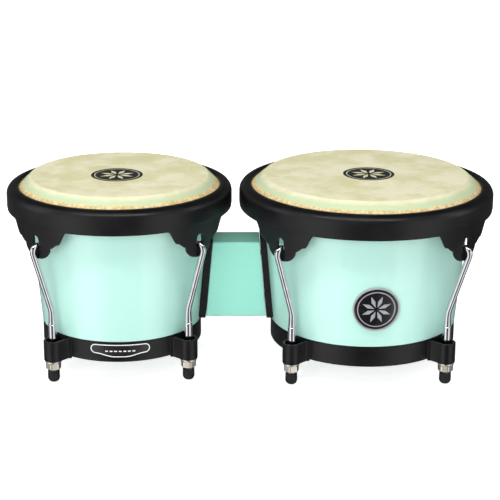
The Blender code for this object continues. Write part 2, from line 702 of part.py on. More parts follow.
def add_label(drum, frame, materials):
    """A thin plate bent round the band, with its corners cut off."""
    half = LABEL_HALF_LENGTH
    stations = [-half, -half + LABEL_CORNER]
    stations += [half * i / 4 for i in range(-3, 4)]
    stations += [half - LABEL_CORNER, half]
    inner = drum.band_radius + GAP
    outer = inner + LABEL_THICKNESS
    loops = []
    for s in stations:
        height = LABEL_HALF_HEIGHT - (LABEL_CORNER if abs(s) == half else 0)
        azimuth = LABEL_AZIMUTH + s / drum.band_radius
        corners = ((inner, -height), (outer, -height), (outer, height), (inner, height))
        loops.append([polar(r, azimuth, Z_LABEL + h) for r, h in corners])
    add_object(loops_mesh("band_label", loops, ring=False), materials["label"], frame)


# ---------------------------------------------------------------- assembly

def build():
    clear_scene()
    materials = make_materials()
    frames = {drum.name: add_empty(f"{drum.name}_drum", (drum.axis_x, 0, 0)) for drum in DRUMS}
    joint_frames = {drum.name: joint_frame_of(drum) for drum in DRUMS}
    for drum in DRUMS:
        frame = frames[drum.name]
        joint_frame = joint_frames[drum.name]
        add_head(drum, frame, joint_frame, materials)
        add_rim(drum, frame, materials)
        add_bottom_ring(drum, frame, materials)
        add_lugs(drum, frame, materials)
        add_gasket(drum, frame, joint_frame, materials)
        plate_face = add_backing_plate(drum, joint_frame, materials)
        add_block_bolts(drum, joint_frame, plate_face, materials)
    add_center_block(joint_frames, materials)
    add_badge(frames["large"], materials)
    add_label(SMALL, frames["small"], materials)


build()
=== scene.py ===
"""Looks for the bongo drums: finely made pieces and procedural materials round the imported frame.

Metres, +Z up, the small drum at -X, the large one at +X, and the badge looks towards -Y.
The main sizes are read from the frame's nodes. Heights are named Z_..., and radii are measured
from a drum's own upright axis.
"""

from math import acos, asin, atan, atan2, ceil, cos, hypot, pi, radians, sin, sqrt, tan

import bmesh
import bpy
from mathutils import Matrix, Vector, noise


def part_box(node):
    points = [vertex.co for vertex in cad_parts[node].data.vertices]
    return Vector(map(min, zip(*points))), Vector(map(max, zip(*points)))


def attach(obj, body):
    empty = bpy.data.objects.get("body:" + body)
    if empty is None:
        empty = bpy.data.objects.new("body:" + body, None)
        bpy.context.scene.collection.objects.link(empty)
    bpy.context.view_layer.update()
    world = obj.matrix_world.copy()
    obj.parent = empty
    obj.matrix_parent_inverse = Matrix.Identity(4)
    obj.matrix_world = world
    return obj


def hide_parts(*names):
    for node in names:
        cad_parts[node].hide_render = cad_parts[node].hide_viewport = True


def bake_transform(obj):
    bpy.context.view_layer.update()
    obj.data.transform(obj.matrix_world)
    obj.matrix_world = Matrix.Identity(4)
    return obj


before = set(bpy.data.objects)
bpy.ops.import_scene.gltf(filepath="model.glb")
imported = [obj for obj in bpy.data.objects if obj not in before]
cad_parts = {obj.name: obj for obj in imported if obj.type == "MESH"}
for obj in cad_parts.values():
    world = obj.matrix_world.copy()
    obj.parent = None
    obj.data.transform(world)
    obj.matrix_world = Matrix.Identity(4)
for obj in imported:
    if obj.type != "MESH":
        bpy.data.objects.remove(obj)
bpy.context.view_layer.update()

MM = 0.001
GAP = 0.3 * MM                   # air between two pieces that touch
FINE = 192                       # facets round a drum
SHARP_ANGLE = radians(32)        # faces that meet at more than this keep a hard edge

# ---------------------------------------------------------------- sizes

ROOT_BODY = "shells_and_block"
SHELL_TAPER = 0.0885             # radius gained per unit of height
TAPER_ANGLE = atan(SHELL_TAPER)
WALL = 5.5 * MM
UP = Vector((0, 0, 1))

Z_SKIN_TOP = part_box("large_skin")[1].z
Z_RIM_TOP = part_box("large_rim")[1].z
Z_EAR_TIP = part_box("large_rim")[0].z
Z_BAND_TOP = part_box("large_bottom_ring")[1].z
Z_BAND_BOTTOM = Z_BAND_TOP - 19.9 * MM

SKIN = 1.2 * MM
HOOP_WIRE = 2.5 * MM
CREST = 1.7 * MM                 # rounding of the shell's bearing edge
HOOP_INSET = 13.2 * MM           # from the rim's outer face in to the hoop's wire
Z_HOOP = 169.6 * MM
Z_CREST = Z_SKIN_TOP - SKIN - GAP - CREST
SKIN_WRAP_END = radians(-165)
DRAW_DOWN = 3.75 * MM            # how far tuning can draw the rim and the hoop down
Z_THICK_WALL = 172.0 * MM
Z_THIN_WALL = 165.0 * MM

SHEET = 2.2 * MM
SHOULDER = 8.0 * MM
TOP_INSET = 9.0 * MM
LIP_INSET = 11.4 * MM
LIP_DROP = 1.2 * MM
LIP_THICKNESS = 1.5 * MM
FOLD_THICKNESS = 4.5 * MM
Z_WALL_BOTTOM = 158.0 * MM
Z_SKIRT_KNEE = 154.6 * MM
Z_RIM_EDGE = 153.8 * MM
SKIRT_STEP = 0.4 * MM
EAR_LEAN = 0.07
# an ear ends in half an ellipse, and steps up from that to the rim's edge: (distance round, height)
LOBE_HALF_WIDTH = 16.5 * MM
LOBE_HEIGHT = 12.0 * MM
EAR_STEPS = ((36.0 * MM, Z_RIM_EDGE), (26.0 * MM, 141.0 * MM), (LOBE_HALF_WIDTH, 136.0 * MM))
HOLE_RADIUS = 4.2 * MM
Z_HOLE = 137.3 * MM
Z_HOLE_TIP = 146.4 * MM
HOLE_TIP = 3.5 * MM

ROD = 3.0 * MM
SHANK = 3.9 * MM
PITCH = 1.25 * MM
THREAD_DEPTH = 0.6 * MM
LUG_OFFSET = 12.9 * MM
Z_ROD_END = 2.0 * MM
Z_THREAD_TOP = 40.0 * MM
Z_SHANK_TOP = 57.0 * MM
Z_KNEE = 70.0 * MM
KNEE_BEND = 25.0 * MM
HOOK_BEND = 5.4 * MM
HOOK_INSET = 2.8 * MM
Z_HOOK = 131.0 * MM
HOOK_TIP = 6.0 * MM

CAP_RADIUS = 5.6 * MM
CAP_FLAT = 1.5 * MM
Z_CAP_TOP = 11.6 * MM
Z_NUT_BOTTOM = 12.9 * MM
NUT_HEIGHT = 6.4 * MM
NUT_ACROSS_FLATS = 13.0 * MM
WASHER_RADIUS = 7.8 * MM
WASHER_THICKNESS = 1.6 * MM
Z_WASHER = Z_NUT_BOTTOM + NUT_HEIGHT + GAP
Z_LOOP_BOTTOM = Z_WASHER + WASHER_THICKNESS + GAP
LOOP_HEIGHT = 19.7 * MM
LOOP_RADIUS = 8.6 * MM
LOOP_STRAP = 2.2 * MM
LOOP_FLARE = 1.9 * MM
LOOP_ROOT = 0.8 * MM
LOOP_FOOT = 2.5 * MM
BAND_SHEET = 1.8 * MM

GASKET = 4.1 * MM
GASKET_MARGIN = 1.8 * MM
GASKET_EDGE = 4.0 * MM
Z_BLOCK_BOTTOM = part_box("center_block")[0].z
Z_BLOCK_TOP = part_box("center_block")[1].z
Z_BLOCK_MIDDLE = (Z_BLOCK_TOP + Z_BLOCK_BOTTOM) / 2
BLOCK_HALF_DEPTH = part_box("center_block")[1].y
BLOCK_WALL = 4.0 * MM
BLOCK_EDGE = 2.0 * MM
BOLT_PITCH = 44.0 * MM
BOLT = 3.0 * MM
BOLT_HOLE = BOLT + GAP
BOLT_HEAD_ACROSS_FLATS = 10.0 * MM
BOLT_HEAD_HEIGHT = 4.0 * MM
BOLT_NUT_HEIGHT = 5.0 * MM
BOLT_TAIL = 1.5 * MM
PLATE = 2.5 * MM
PLATE_HALF_HEIGHT = 32.0 * MM
PLATE_HALF_ANGLE = radians(10)

BADGE_AZIMUTH = radians(272.4)
Z_BADGE = 81.2 * MM
BADGE_RADIUS = 19.6 * MM
BEZEL_INNER = 19.9 * MM
BEZEL_OUTER = 21.4 * MM
BADGE_THICKNESS = 1.4 * MM
BEZEL_THICKNESS = 2.4 * MM
LABEL_AZIMUTH = radians(272.0)
LABEL_HALF_LENGTH = 28.0 * MM
LABEL_HALF_HEIGHT = 6.2 * MM
LABEL_THICKNESS = 0.4 * MM
Z_LABEL = 34.2 * MM
PRINT_RADIUS = 24.3 * MM         # dark disc printed on each skin
PETAL_MIDDLE = 0.40              # the star's shape, as shares of the badge's or the print's radius
PETAL_HALF_LENGTH = 0.30
PETAL_HALF_WIDTH = 0.095
RING_RADIUS = 0.86
STAR_SINK = 0.1 * MM             # how deep the star's petals and ring reach into the badge
STAR_RELIEF = 0.35 * MM          # and how far they stand out of it
STAR_LINE = 0.45 * MM            # half the width of its ring
BADGE_FACETS = 96
BEZEL_FACETS = 128

# the label's outline and dashes
LABEL_SAG = 3.4 * MM             # how far the middle of its lower edge hangs
LABEL_STATIONS = 56              # steps along the film
LABEL_INSET = 0.55 * MM          # from the film's edge in to the outline
LABEL_LINE = 0.42 * MM           # half the outline's width
LINE_SAG = 3.2 * MM
MARK_RELIEF = 0.1 * MM           # how far the outline and the dashes stand out of the film
DASH_COUNT = 7
DASH_PITCH = 4.2 * MM

# the weld beads beside the loops
WELD_RADIUS = 1.15 * MM
WELD_MARGIN = 0.8 * MM           # from a loop's end to the bead's
WELD_ROWS = 44
WELD_SIDES = 12

THREAD_STEPS = 8                 # rows of points to one turn of the thread
THREAD_FADE = 12                 # rows over which the groove runs out at either end


class Drum:
    """The sizes that differ between the two drums."""

    def __init__(self, name, bearing_radius, band_radius, turn, print_offset):
        rim_low, rim_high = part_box(f"{name}_rim")
        self.name = name
        self.axis_x = (rim_low.x + rim_high.x) / 2
        self.rim_radius = (rim_high.x - rim_low.x) / 2
        self.bearing_radius = bearing_radius
        self.band_radius = band_radius
        self.turn = turn                         # how far the lugs stand round
        self.print_offset = print_offset         # of the printed disc, from the axis
        self.tuning_body = f"{name}_tuning"
        self.side = 1 if name == "small" else -1     # the block is on this drum's +X or -X side
        self.hoop_radius = self.rim_radius - HOOP_INSET
        self.lug_radius = band_radius + LUG_OFFSET
        self.center = Vector((self.axis_x, 0, 0))

    def shell_radius(self, z):
        return self.band_radius + SHELL_TAPER * (z - Z_BAND_TOP)


SMALL = Drum("small", 82.5 * MM, 76.4 * MM, radians(2.2), (-2.0 * MM, -5.5 * MM))
LARGE = Drum("large", 95.3 * MM, 89.3 * MM, radians(0.4), (2.3 * MM, -0.8 * MM))
DRUMS = (SMALL, LARGE)
LUGS = {
    "back_right": radians(45),
    "back_left": radians(135),
    "front_left": radians(225),
    "front_right": radians(315),
}


# ---------------------------------------------------------------- nodes for materials

class Paint:
    """A material under construction: its shader and short ways to add nodes."""

    def __init__(self, name, roughness, metallic=0.0, specular=0.5, coat=0.0, coat_roughness=0.1):
        self.material = bpy.data.materials.new(name)
        self.material.use_nodes = True
        self.tree = self.material.node_tree
        self.shader = self.tree.nodes["Principled BSDF"]
        self.shader.inputs["Roughness"].default_value = roughness
        self.shader.inputs["Metallic"].default_value = metallic
        self.shader.inputs["Specular IOR Level"].default_value = specular
        self.shader.inputs["Coat Weight"].default_value = coat
        self.shader.inputs["Coat Roughness"].default_value = coat_roughness
        self.place = self.node("ShaderNodeTexCoord").outputs["Object"]

    def node(self, kind, inputs=None, **settings):
        made = self.tree.nodes.new(kind)
        for key, value in settings.items():
            setattr(made, key, value)
        for key, value in (inputs or {}).items():
            if isinstance(value, bpy.types.NodeSocket):
                self.tree.links.new(value, made.inputs[key])
            else:
                made.inputs[key].default_value = value
        return made

    def math(self, operation, a, b=0.0, c=0.0):
        return self.node("ShaderNodeMath", {0: a, 1: b, 2: c}, operation=operation).outputs[0]

    def noise(self, scale, detail=3.0, roughness=0.5, stretch=(1, 1, 1)):
        place = self.node("ShaderNodeMapping", {"Vector": self.place, "Scale": stretch}).outputs[0]
        inputs = {"Vector": place, "Scale": scale, "Detail": detail, "Roughness": roughness}
        return self.node("ShaderNodeTexNoise", inputs).outputs["Fac"]

    def span(self, value, low, high, to_low=0.0, to_high=1.0):
        """Map low..high smoothly to to_low..to_high, clamped."""
        inputs = {"Value": value, "From Min": low, "From Max": high, "To Min": to_low, "To Max": to_high}
        made = self.node("ShaderNodeMapRange", inputs, interpolation_type="SMOOTHSTEP")
        return made.outputs["Result"]

    def mix(self, factor, a, b):
        made = self.node("ShaderNodeMix", data_type="RGBA")
        for key, value in ((0, factor), (6, a), (7, b)):
            if isinstance(value, bpy.types.NodeSocket):
                self.tree.links.new(value, made.inputs[key])
            else:
                made.inputs[key].default_value = value if key == 0 else (*value, 1.0)
        return made.outputs[2]

    def bump(self, height, distance, strength=1.0, normal=None):
        inputs = {"Height": height, "Distance": distance, "Strength": strength}
        if normal is not None:
            inputs["Normal"] = normal
        return self.node("ShaderNodeBump", inputs).outputs["Normal"]

    def connect(self, color=None, roughness=None, normal=None):
        for key, socket in (("Base Color", color), ("Roughness", roughness), ("Normal", normal)):
            if socket is not None:
                self.tree.links.new(socket, self.shader.inputs[key])
        return self.material


def moulded_plastic(name, color, deeper, specular):
    """Glossy moulded plastic: slight drifts of tone, faint ripple and fine wipe marks."""
    paint = Paint(name, 0.1, specular=specular)
    drift = paint.span(paint.noise(9, 2), 0.35, 0.65)
    ripple = paint.noise(55, 2)
    grain = paint.noise(2600, 2)
    wipes = paint.noise(160, 4, 0.65, (1, 1, 0.12))
    normal = paint.bump(ripple, 0.05 * MM, 0.35)
    normal = paint.bump(grain, 0.008 * MM, 0.25, normal)
    return paint.connect(paint.mix(drift, color, deeper),
                         paint.span(wipes, 0.3, 0.75, 0.07, 0.17), normal)


def powder_coat():
    """Satin black powder coat: orange-peel skin, with patches a little duller."""
    paint = Paint("black_powder_coat", 0.36, specular=0.28)
    patches = paint.noise(35, 3)
    peel = paint.noise(1300, 2, 0.4)
    color = paint.mix(paint.span(patches, 0.3, 0.7), (0.0045, 0.0042, 0.0050), (0.0070, 0.0068, 0.0078))
    return paint.connect(color, paint.span(patches, 0.3, 0.7, 0.30, 0.40),
                         paint.bump(peel, 0.03 * MM, 0.35))


def plated(name, color, darker, rough_low, rough_high, scratch=(1, 1, 0.08)):
    """Plated metal with fine drawing lines and slight clouding."""
    paint = Paint(name, rough_low, metallic=1.0)
    cloud = paint.noise(140, 3)
    lines = paint.noise(1500, 3, 0.6, scratch)
    return paint.connect(paint.mix(paint.span(cloud, 0.3, 0.7), color, darker),
                         paint.span(lines, 0.3, 0.7, rough_low, rough_high),
                         paint.bump(lines, 0.01 * MM, 0.2))


def silver_paint():
    """Pale metallic paint of the badge, with fine flakes."""
    paint = Paint("silver_paint", 0.4, metallic=0.35)
    flakes = paint.noise(2300, 2)
    return paint.connect(paint.mix(paint.span(flakes, 0.35, 0.65), (0.44, 0.45, 0.48), (0.36, 0.37, 0.40)),
                         paint.span(flakes, 0.3, 0.7, 0.34, 0.46), paint.bump(flakes, 0.01 * MM, 0.2))


def moulded_rubber(name, color, lighter, roughness):
    """Matt black rubber with a fine pitted skin and dusty patches."""
    paint = Paint(name, roughness, specular=0.3)
    dust = paint.span(paint.noise(220, 4, 0.7), 0.45, 0.8)
    pits = paint.noise(2400, 3)
    return paint.connect(paint.mix(dust, color, lighter),
                         paint.span(pits, 0.3, 0.7, roughness - 0.08, roughness + 0.08),
                         paint.bump(pits, 0.05 * MM, 0.4))


def enamel(name, color, lighter, roughness):
    """Smooth printed or enamelled film with faint specks."""
    paint = Paint(name, roughness, specular=0.4, coat=0.3, coat_roughness=0.08)
    specks = paint.span(paint.noise(1900, 2), 0.55, 0.75)
    haze = paint.noise(90, 3)
    return paint.connect(paint.mix(specks, color, lighter),
                         paint.span(haze, 0.3, 0.7, roughness - 0.05, roughness + 0.08),
                         paint.bump(haze, 0.02 * MM, 0.2))


def star_mask(paint, x, y, radius):
    """1 inside the printed pattern: eight slim petals and a thin ring round them."""
    r = paint.math("SQRT", paint.math("ADD", paint.math("MULTIPLY", x, x), paint.math("MULTIPLY", y, y)))
    angle = paint.math("ARCTAN2", y, x)
    turned = paint.math("SUBTRACT", paint.math("FLOORED_MODULO", angle, pi / 4), pi / 8)
    along = paint.math("MULTIPLY", r, paint.math("COSINE", turned))
    across = paint.math("ABSOLUTE", paint.math("MULTIPLY", r, paint.math("SINE", turned)))
    # a petal is widest at its middle and pointed at both ends
    middle = PETAL_MIDDLE * radius
    half_length = PETAL_HALF_LENGTH * radius
    half_width = PETAL_HALF_WIDTH * radius
    from_middle = paint.math("ABSOLUTE", paint.math("SUBTRACT", along, middle))
    width = paint.math("MULTIPLY_ADD", from_middle, -half_width / half_length, half_width)
    petals = paint.span(paint.math("SUBTRACT", width, across), -0.15 * MM, 0.15 * MM)
    from_ring = paint.math("ABSOLUTE", paint.math("SUBTRACT", r, RING_RADIUS * radius))
    ring = paint.span(from_ring, 0.25 * MM, 0.55 * MM, 1.0, 0.0)
    return paint.math("MAXIMUM", petals, ring), r




def zone(drum, distance, softness):
    """Where one band of the skin's colour gives way to the next, outside the bearing edge."""
    middle = drum.bearing_radius + distance
    return middle - softness / 2, middle + softness / 2


def hide(drum):
    """Natural skin, matt and mottled, and golden where it is doubled round the hoop, with a painted highlight
    along the bearing edge and a painted green cast of the shell showing through the collar. A dark disc is
    printed on it."""
    paint = Paint(f"{drum.name}_hide", 0.55, specular=0.35)
    parts = paint.node("ShaderNodeSeparateXYZ", {0: paint.place})
    x = paint.math("SUBTRACT", parts.outputs[0], drum.axis_x)
    y = parts.outputs[1]
    z = parts.outputs[2]
    r = paint.math("SQRT", paint.math("ADD", paint.math("MULTIPLY", x, x), paint.math("MULTIPLY", y, y)))
    blotches = paint.noise(28, 4, 0.6)
    clouds = paint.noise(95, 5, 0.65)
    pores = paint.noise(900, 3, 0.6)
    strands = paint.noise(260, 4, 0.7, (0.25, 1, 1))

    top = paint.mix(paint.span(blotches, 0.38, 0.62), (0.66, 0.63, 0.36), (0.79, 0.76, 0.54))
    top = paint.mix(paint.span(clouds, 0.48, 0.72, 0.0, 0.6), top, (0.80, 0.75, 0.61))
    top = paint.mix(paint.span(strands, 0.50, 0.70, 0.0, 0.4), top, (0.62, 0.59, 0.35))
    top = paint.mix(paint.span(pores, 0.58, 0.76, 0.0, 0.35), top, (0.56, 0.51, 0.29))

    wander = paint.math("MULTIPLY", paint.math("SUBTRACT", paint.noise(75, 4, 0.65), 0.5), 5.0 * MM)
    edge = paint.math("ADD", r, wander)
    collar = drum.hoop_radius - drum.bearing_radius
    creases = paint.noise(330, 3, 0.6, (1, 1, 0.15))
    # painted highlight: a pale band along the crease just outside the bearing edge
    painted_crease_highlight = paint.mix(paint.span(clouds, 0.3, 0.7), (0.68, 0.64, 0.42), (0.76, 0.73, 0.52))
    # painted light: the green cast of the shell showing through the thin skin of the collar
    painted_shell_show_through = paint.mix(paint.span(clouds, 0.3, 0.7), (0.52, 0.60, 0.36), (0.46, 0.61, 0.38))
    gold = paint.mix(paint.span(creases, 0.35, 0.65), (0.62, 0.42, 0.17), (0.80, 0.66, 0.37))
    color = paint.mix(paint.span(edge, *zone(drum, 0.02 * collar, 3.4 * MM)), top, painted_crease_highlight)
    color = paint.mix(paint.span(edge, *zone(drum, 0.36 * collar, 4.0 * MM), 0.0, 0.85), color, painted_shell_show_through)
    color = paint.mix(paint.span(edge, *zone(drum, 0.78 * collar, 1.0 * MM)), color, gold)

    print_x = paint.math("SUBTRACT", x, drum.print_offset[0])
    print_y = paint.math("SUBTRACT", y, drum.print_offset[1])
    star, print_r = star_mask(paint, print_x, print_y, PRINT_RADIUS)
    worn = paint.math("ADD", print_r, paint.math("MULTIPLY", paint.math("SUBTRACT", pores, 0.5), 0.8 * MM))
    inked = paint.span(worn, PRINT_RADIUS - 0.25 * MM, PRINT_RADIUS + 0.25 * MM, 1.0, 0.0)
    inked = paint.math("MULTIPLY", inked, paint.span(z, Z_SKIN_TOP - 0.9 * MM, Z_SKIN_TOP - 0.6 * MM))
    inked = paint.math("MULTIPLY", inked, paint.math("SUBTRACT", 1.0, paint.math("MULTIPLY", star, 0.93)))
    ink = paint.mix(paint.span(pores, 0.3, 0.7), (0.014, 0.016, 0.018), (0.030, 0.033, 0.034))
    color = paint.mix(inked, color, ink)

    normal = paint.bump(clouds, 0.25 * MM, 0.30)
    normal = paint.bump(strands, 0.10 * MM, 0.35, normal)
    normal = paint.bump(pores, 0.05 * MM, 0.45, normal)
    return paint.connect(color, paint.span(clouds, 0.3, 0.7, 0.46, 0.62), normal)


def make_materials():
    materials = {
        # the shell's mint is paler than the block's: part of it is a painted sheen of reflected light over
        # the plastic's colour
        "shell": moulded_plastic("shell_plastic", (0.45, 0.735, 0.655), (0.435, 0.72, 0.64), 0.7),
        "block": moulded_plastic("block_plastic", (0.32, 0.72, 0.60), (0.31, 0.71, 0.59), 0.4),
        "black_steel": powder_coat(),
        "chrome": plated("chrome", (0.68, 0.68, 0.71), (0.60, 0.60, 0.63), 0.05, 0.12),
        "nickel": plated("nickel", (0.94, 0.88, 0.78), (0.84, 0.78, 0.68), 0.30, 0.42),
        "steel": plated("plain_steel", (0.60, 0.60, 0.61), (0.48, 0.48, 0.50), 0.28, 0.42),
        "rubber": moulded_rubber("moulded_rubber", (0.008, 0.008, 0.009), (0.020, 0.020, 0.021), 0.62),
        "badge": enamel("badge_enamel", (0.006, 0.006, 0.007), (0.012, 0.012, 0.013), 0.22),
        "bezel": silver_paint(),
        "label": enamel("label_film", (0.010, 0.010, 0.011), (0.016, 0.016, 0.017), 0.30),
        "pale_ink": enamel("pale_ink", (0.80, 0.80, 0.80), (0.70, 0.70, 0.70), 0.40),
    }
    for drum in DRUMS:
        materials[f"{drum.name}_hide"] = hide(drum)
    return materials


# ---------------------------------------------------------------- tools for meshes

def finished_mesh(name, verts, faces):
    """A mesh with outward normals, smooth except at real edges."""
    mesh = bpy.data.meshes.new(name)
    mesh.from_pydata([tuple(v) for v in verts], [], faces)
    bm = bmesh.new()
    bm.from_mesh(mesh)
    bmesh.ops.remove_doubles(bm, verts=bm.verts, dist=0.002 * MM)
    bmesh.ops.recalc_face_normals(bm, faces=bm.faces)
    bm.to_mesh(mesh)
    bm.free()
    mesh.shade_smooth()
    mesh.set_sharp_from_angle(angle=SHARP_ANGLE)
    return mesh


def loops_mesh(name, loops, ring=True):
    """Skin a row of equal closed loops, back to the first one or with a cap on each end."""
    count = len(loops[0])
    verts = [point for loop in loops for point in loop]
    faces = []
    rows = len(loops)
    for i in range(rows if ring else rows - 1):
        a, b = i * count, (i + 1) % rows * count
        for j in range(count):
            k = (j + 1) % count
            faces.append((a + j, a + k, b + k, b + j))
    if not ring:
        faces += [tuple(range(count)), tuple(range((rows - 1) * count, rows * count))]
    return finished_mesh(name, verts, faces)


def turned_mesh(name, section, steps=FINE):
    """Turn a closed section of (radius, height) points about Z. Points on the axis become caps."""
    loops = []
    for i in range(steps):
        c, s = cos(2 * pi * i / steps), sin(2 * pi * i / steps)
        loops.append([(r * c, r * s, z) for r, z in section])
    return loops_mesh(name, loops)


def joined_mesh(name, meshes):
    """One mesh of several, for a piece made of separate shells."""
    bm = bmesh.new()
    for mesh in meshes:
        bm.from_mesh(mesh)
    joined = bpy.data.meshes.new(name)
    bm.to_mesh(joined)
    bm.free()
    joined.shade_smooth()
    joined.set_sharp_from_angle(angle=SHARP_ANGLE)
    return joined


def arc(center, radius, start, end, steps):
    """Points on an arc in a plane, both ends included."""
    angles = [start + (end - start) * i / steps for i in range(steps + 1)]
    return [(center[0] + radius * cos(a), center[1] + radius * sin(a)) for a in angles]


def rounded(corners, steps=4):
    """A closed outline of (a, b, rounding) corners with each corner rounded off."""
    points = []
    for i, (a, b, radius) in enumerate(corners):
        corner = Vector((a, b))
        before = Vector(corners[i - 1][:2]) - corner
        after = Vector(corners[(i + 1) % len(corners)][:2]) - corner
        if radius == 0:
            points.append((a, b))
            continue
        half_angle = before.angle(after) / 2
        reach = min(radius / tan(half_angle), 0.49 * before.length, 0.49 * after.length)
        start, end = corner + before.normalized() * reach, corner + after.normalized() * reach
        for k in range(steps + 1):
            t = k / steps
            point = start * (1 - t) ** 2 + corner * (2 * t * (1 - t)) + end * t ** 2
            points.append((point.x, point.y))
    return points


def rounded_rectangle(half_width, low, high, radius, steps=8):
    side = half_width - radius
    centers = ((side, high - radius), (-side, high - radius), (-side, low + radius), (side, low + radius))
    points = []
    for quarter, center in enumerate(centers):
        points += arc(center, radius, quarter * pi / 2, (quarter + 1) * pi / 2, steps)
    return points


def add_piece(name, mesh, material, body, replaces=(), matrix=None):
    """Put a mesh in the scene as a piece that rides on a body."""
    piece = bpy.data.objects.new(name, mesh)
    mesh.materials.clear()
    mesh.materials.append(material)
    bpy.context.scene.collection.objects.link(piece)
    if matrix is not None:
        piece.matrix_world = matrix
    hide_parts(*replaces)
    if body:
        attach(piece, body)
    return piece


def add_bevel(piece, width, segments=3, angle=40):
    bevel = piece.modifiers.new("soft_edges", "BEVEL")
    bevel.width = width
    bevel.segments = segments
    bevel.limit_method = "ANGLE"
    bevel.angle_limit = radians(angle)
    bevel.harden_normals = True


def apply_boolean(mesh, cutters, operation="DIFFERENCE"):
    """Cut meshes out of a mesh, or join them to it, and return the result."""
    scene = bpy.context.scene
    target = bpy.data.objects.new("boolean_target", mesh)
    scene.collection.objects.link(target)
    tools = []
    for cutter in cutters:
        tool = bpy.data.objects.new("boolean_tool", cutter)
        scene.collection.objects.link(tool)
        modifier = target.modifiers.new("boolean", "BOOLEAN")
        modifier.operation = operation
        modifier.solver = "EXACT"
        modifier.object = tool
        tools.append(tool)
    evaluated = target.evaluated_get(bpy.context.evaluated_depsgraph_get())
    result = bpy.data.meshes.new_from_object(evaluated)
    result.name = mesh.name
    for obj in [target, *tools]:
        bpy.data.objects.remove(obj)
    result.shade_smooth()
    result.set_sharp_from_angle(angle=SHARP_ANGLE)
    return result


def at_drum(drum):
    return Matrix.Translation(drum.center)


def at_lug(drum, azimuth):
    place = drum.center + Vector((cos(azimuth), sin(azimuth), 0)) * drum.lug_radius
    return Matrix.Translation(place) @ Matrix.Rotation(azimuth, 4, "Z")


def at_joint(drum):
    """On the shell where the block is bolted, +X square to the wall and out of it."""
    x = drum.axis_x + drum.side * drum.shell_radius(Z_BLOCK_MIDDLE)
    turn = Matrix.Rotation(0 if drum.side > 0 else pi, 4, "Z")
    return Matrix.Translation((x, 0, Z_BLOCK_MIDDLE)) @ turn @ Matrix.Rotation(TAPER_ANGLE, 4, "Y")


# ---------------------------------------------------------------- shell, skin and hoop

def bearing_circles(drum, drawn_down=0.0):
    """Centres of the crest and of the hoop's wire, and the angle of the skin between them."""
    crest = (drum.bearing_radius, Z_CREST)
    hoop = (drum.hoop_radius, Z_HOOP - drawn_down)
    run = (hoop[0] - crest[0], hoop[1] - crest[1])
    slope = atan2(run[1], run[0]) + acos((CREST - HOOP_WIRE) / hypot(*run))
    return crest, hoop, slope


def bolt_cutters(drum, matrix_back):
    """The two bolt holes of one side's joint, in the frame of the mesh they cut."""
    meshes = []
    for side in (-1, 1):
        section = [(0, -20 * MM), (BOLT_HOLE, -20 * MM), (BOLT_HOLE, 13 * MM), (0, 13 * MM)]
        mesh = turned_mesh("bolt_cutter", section, 32)
        lying = Matrix.Translation((0, 0, side * BOLT_PITCH / 2)) @ Matrix.Rotation(pi / 2, 4, "Y")
        mesh.transform(matrix_back @ at_joint(drum) @ lying)
        meshes.append(mesh)
    return meshes


def add_shell(drum, materials):
    crest, _, slope = bearing_circles(drum, DRAW_DOWN)
    crest_arc = arc(crest, CREST, pi, slope, 14)
    start = crest_arc[-1]
    miss = drum.shell_radius(start[1]) - start[0]
    length = miss / (sin(slope) + SHELL_TAPER * cos(slope))
    bevel_end = (start[0] + length * sin(slope), start[1] - length * cos(slope))
    seat = drum.band_radius - BAND_SHEET - GAP
    z_foot = Z_BAND_BOTTOM + BAND_SHEET + GAP
    corners = [
        (*bevel_end, 1.2 * MM),
        (drum.shell_radius(Z_BAND_TOP + GAP), Z_BAND_TOP + GAP, 0.5 * MM),
        (seat, Z_BAND_TOP + GAP, 0),
        (seat, z_foot, 0.6 * MM),
        (drum.shell_radius(z_foot) - WALL, z_foot, 0.8 * MM),
        (drum.shell_radius(Z_THIN_WALL) - WALL, Z_THIN_WALL, 10 * MM),
        (drum.bearing_radius - CREST, Z_THICK_WALL, 8 * MM),
        (*crest_arc[0], 0),
        (*crest_arc[-1], 0),
    ]
    section = rounded(corners, 6)[:-2] + crest_arc
    mesh = turned_mesh(f"{drum.name}_shell_piece", section)
    mesh = apply_boolean(mesh, bolt_cutters(drum, at_drum(drum).inverted()))
    add_piece(f"{drum.name}_shell_piece", mesh, materials["shell"], ROOT_BODY,
              [f"{drum.name}_shell"], at_drum(drum))


def skin_section(drum):
    """From the axis over the crest, round the outside of the hoop, and back underneath."""
    crest, hoop, slope = bearing_circles(drum)
    inner_crest = CREST + GAP
    inner_hoop = HOOP_WIRE + GAP
    straight = 24
    top = [(drum.bearing_radius * i / 40, Z_SKIN_TOP) for i in range(40)]
    outside = arc(crest, inner_crest + SKIN, pi / 2, slope, 10)
    hoop_arc = arc(hoop, inner_hoop + SKIN, slope, SKIN_WRAP_END, 28)
    a, b = outside[-1], hoop_arc[0]
    line = [(a[0] + (b[0] - a[0]) * i / straight, a[1] + (b[1] - a[1]) * i / straight)
            for i in range(1, straight)]
    inner_arc = arc(hoop, inner_hoop, SKIN_WRAP_END, slope, 20)
    inside = inner_arc + arc(crest, inner_crest, slope, pi / 2, 6)
    return top + outside + line + hoop_arc + inside + [(0, Z_SKIN_TOP - SKIN)]


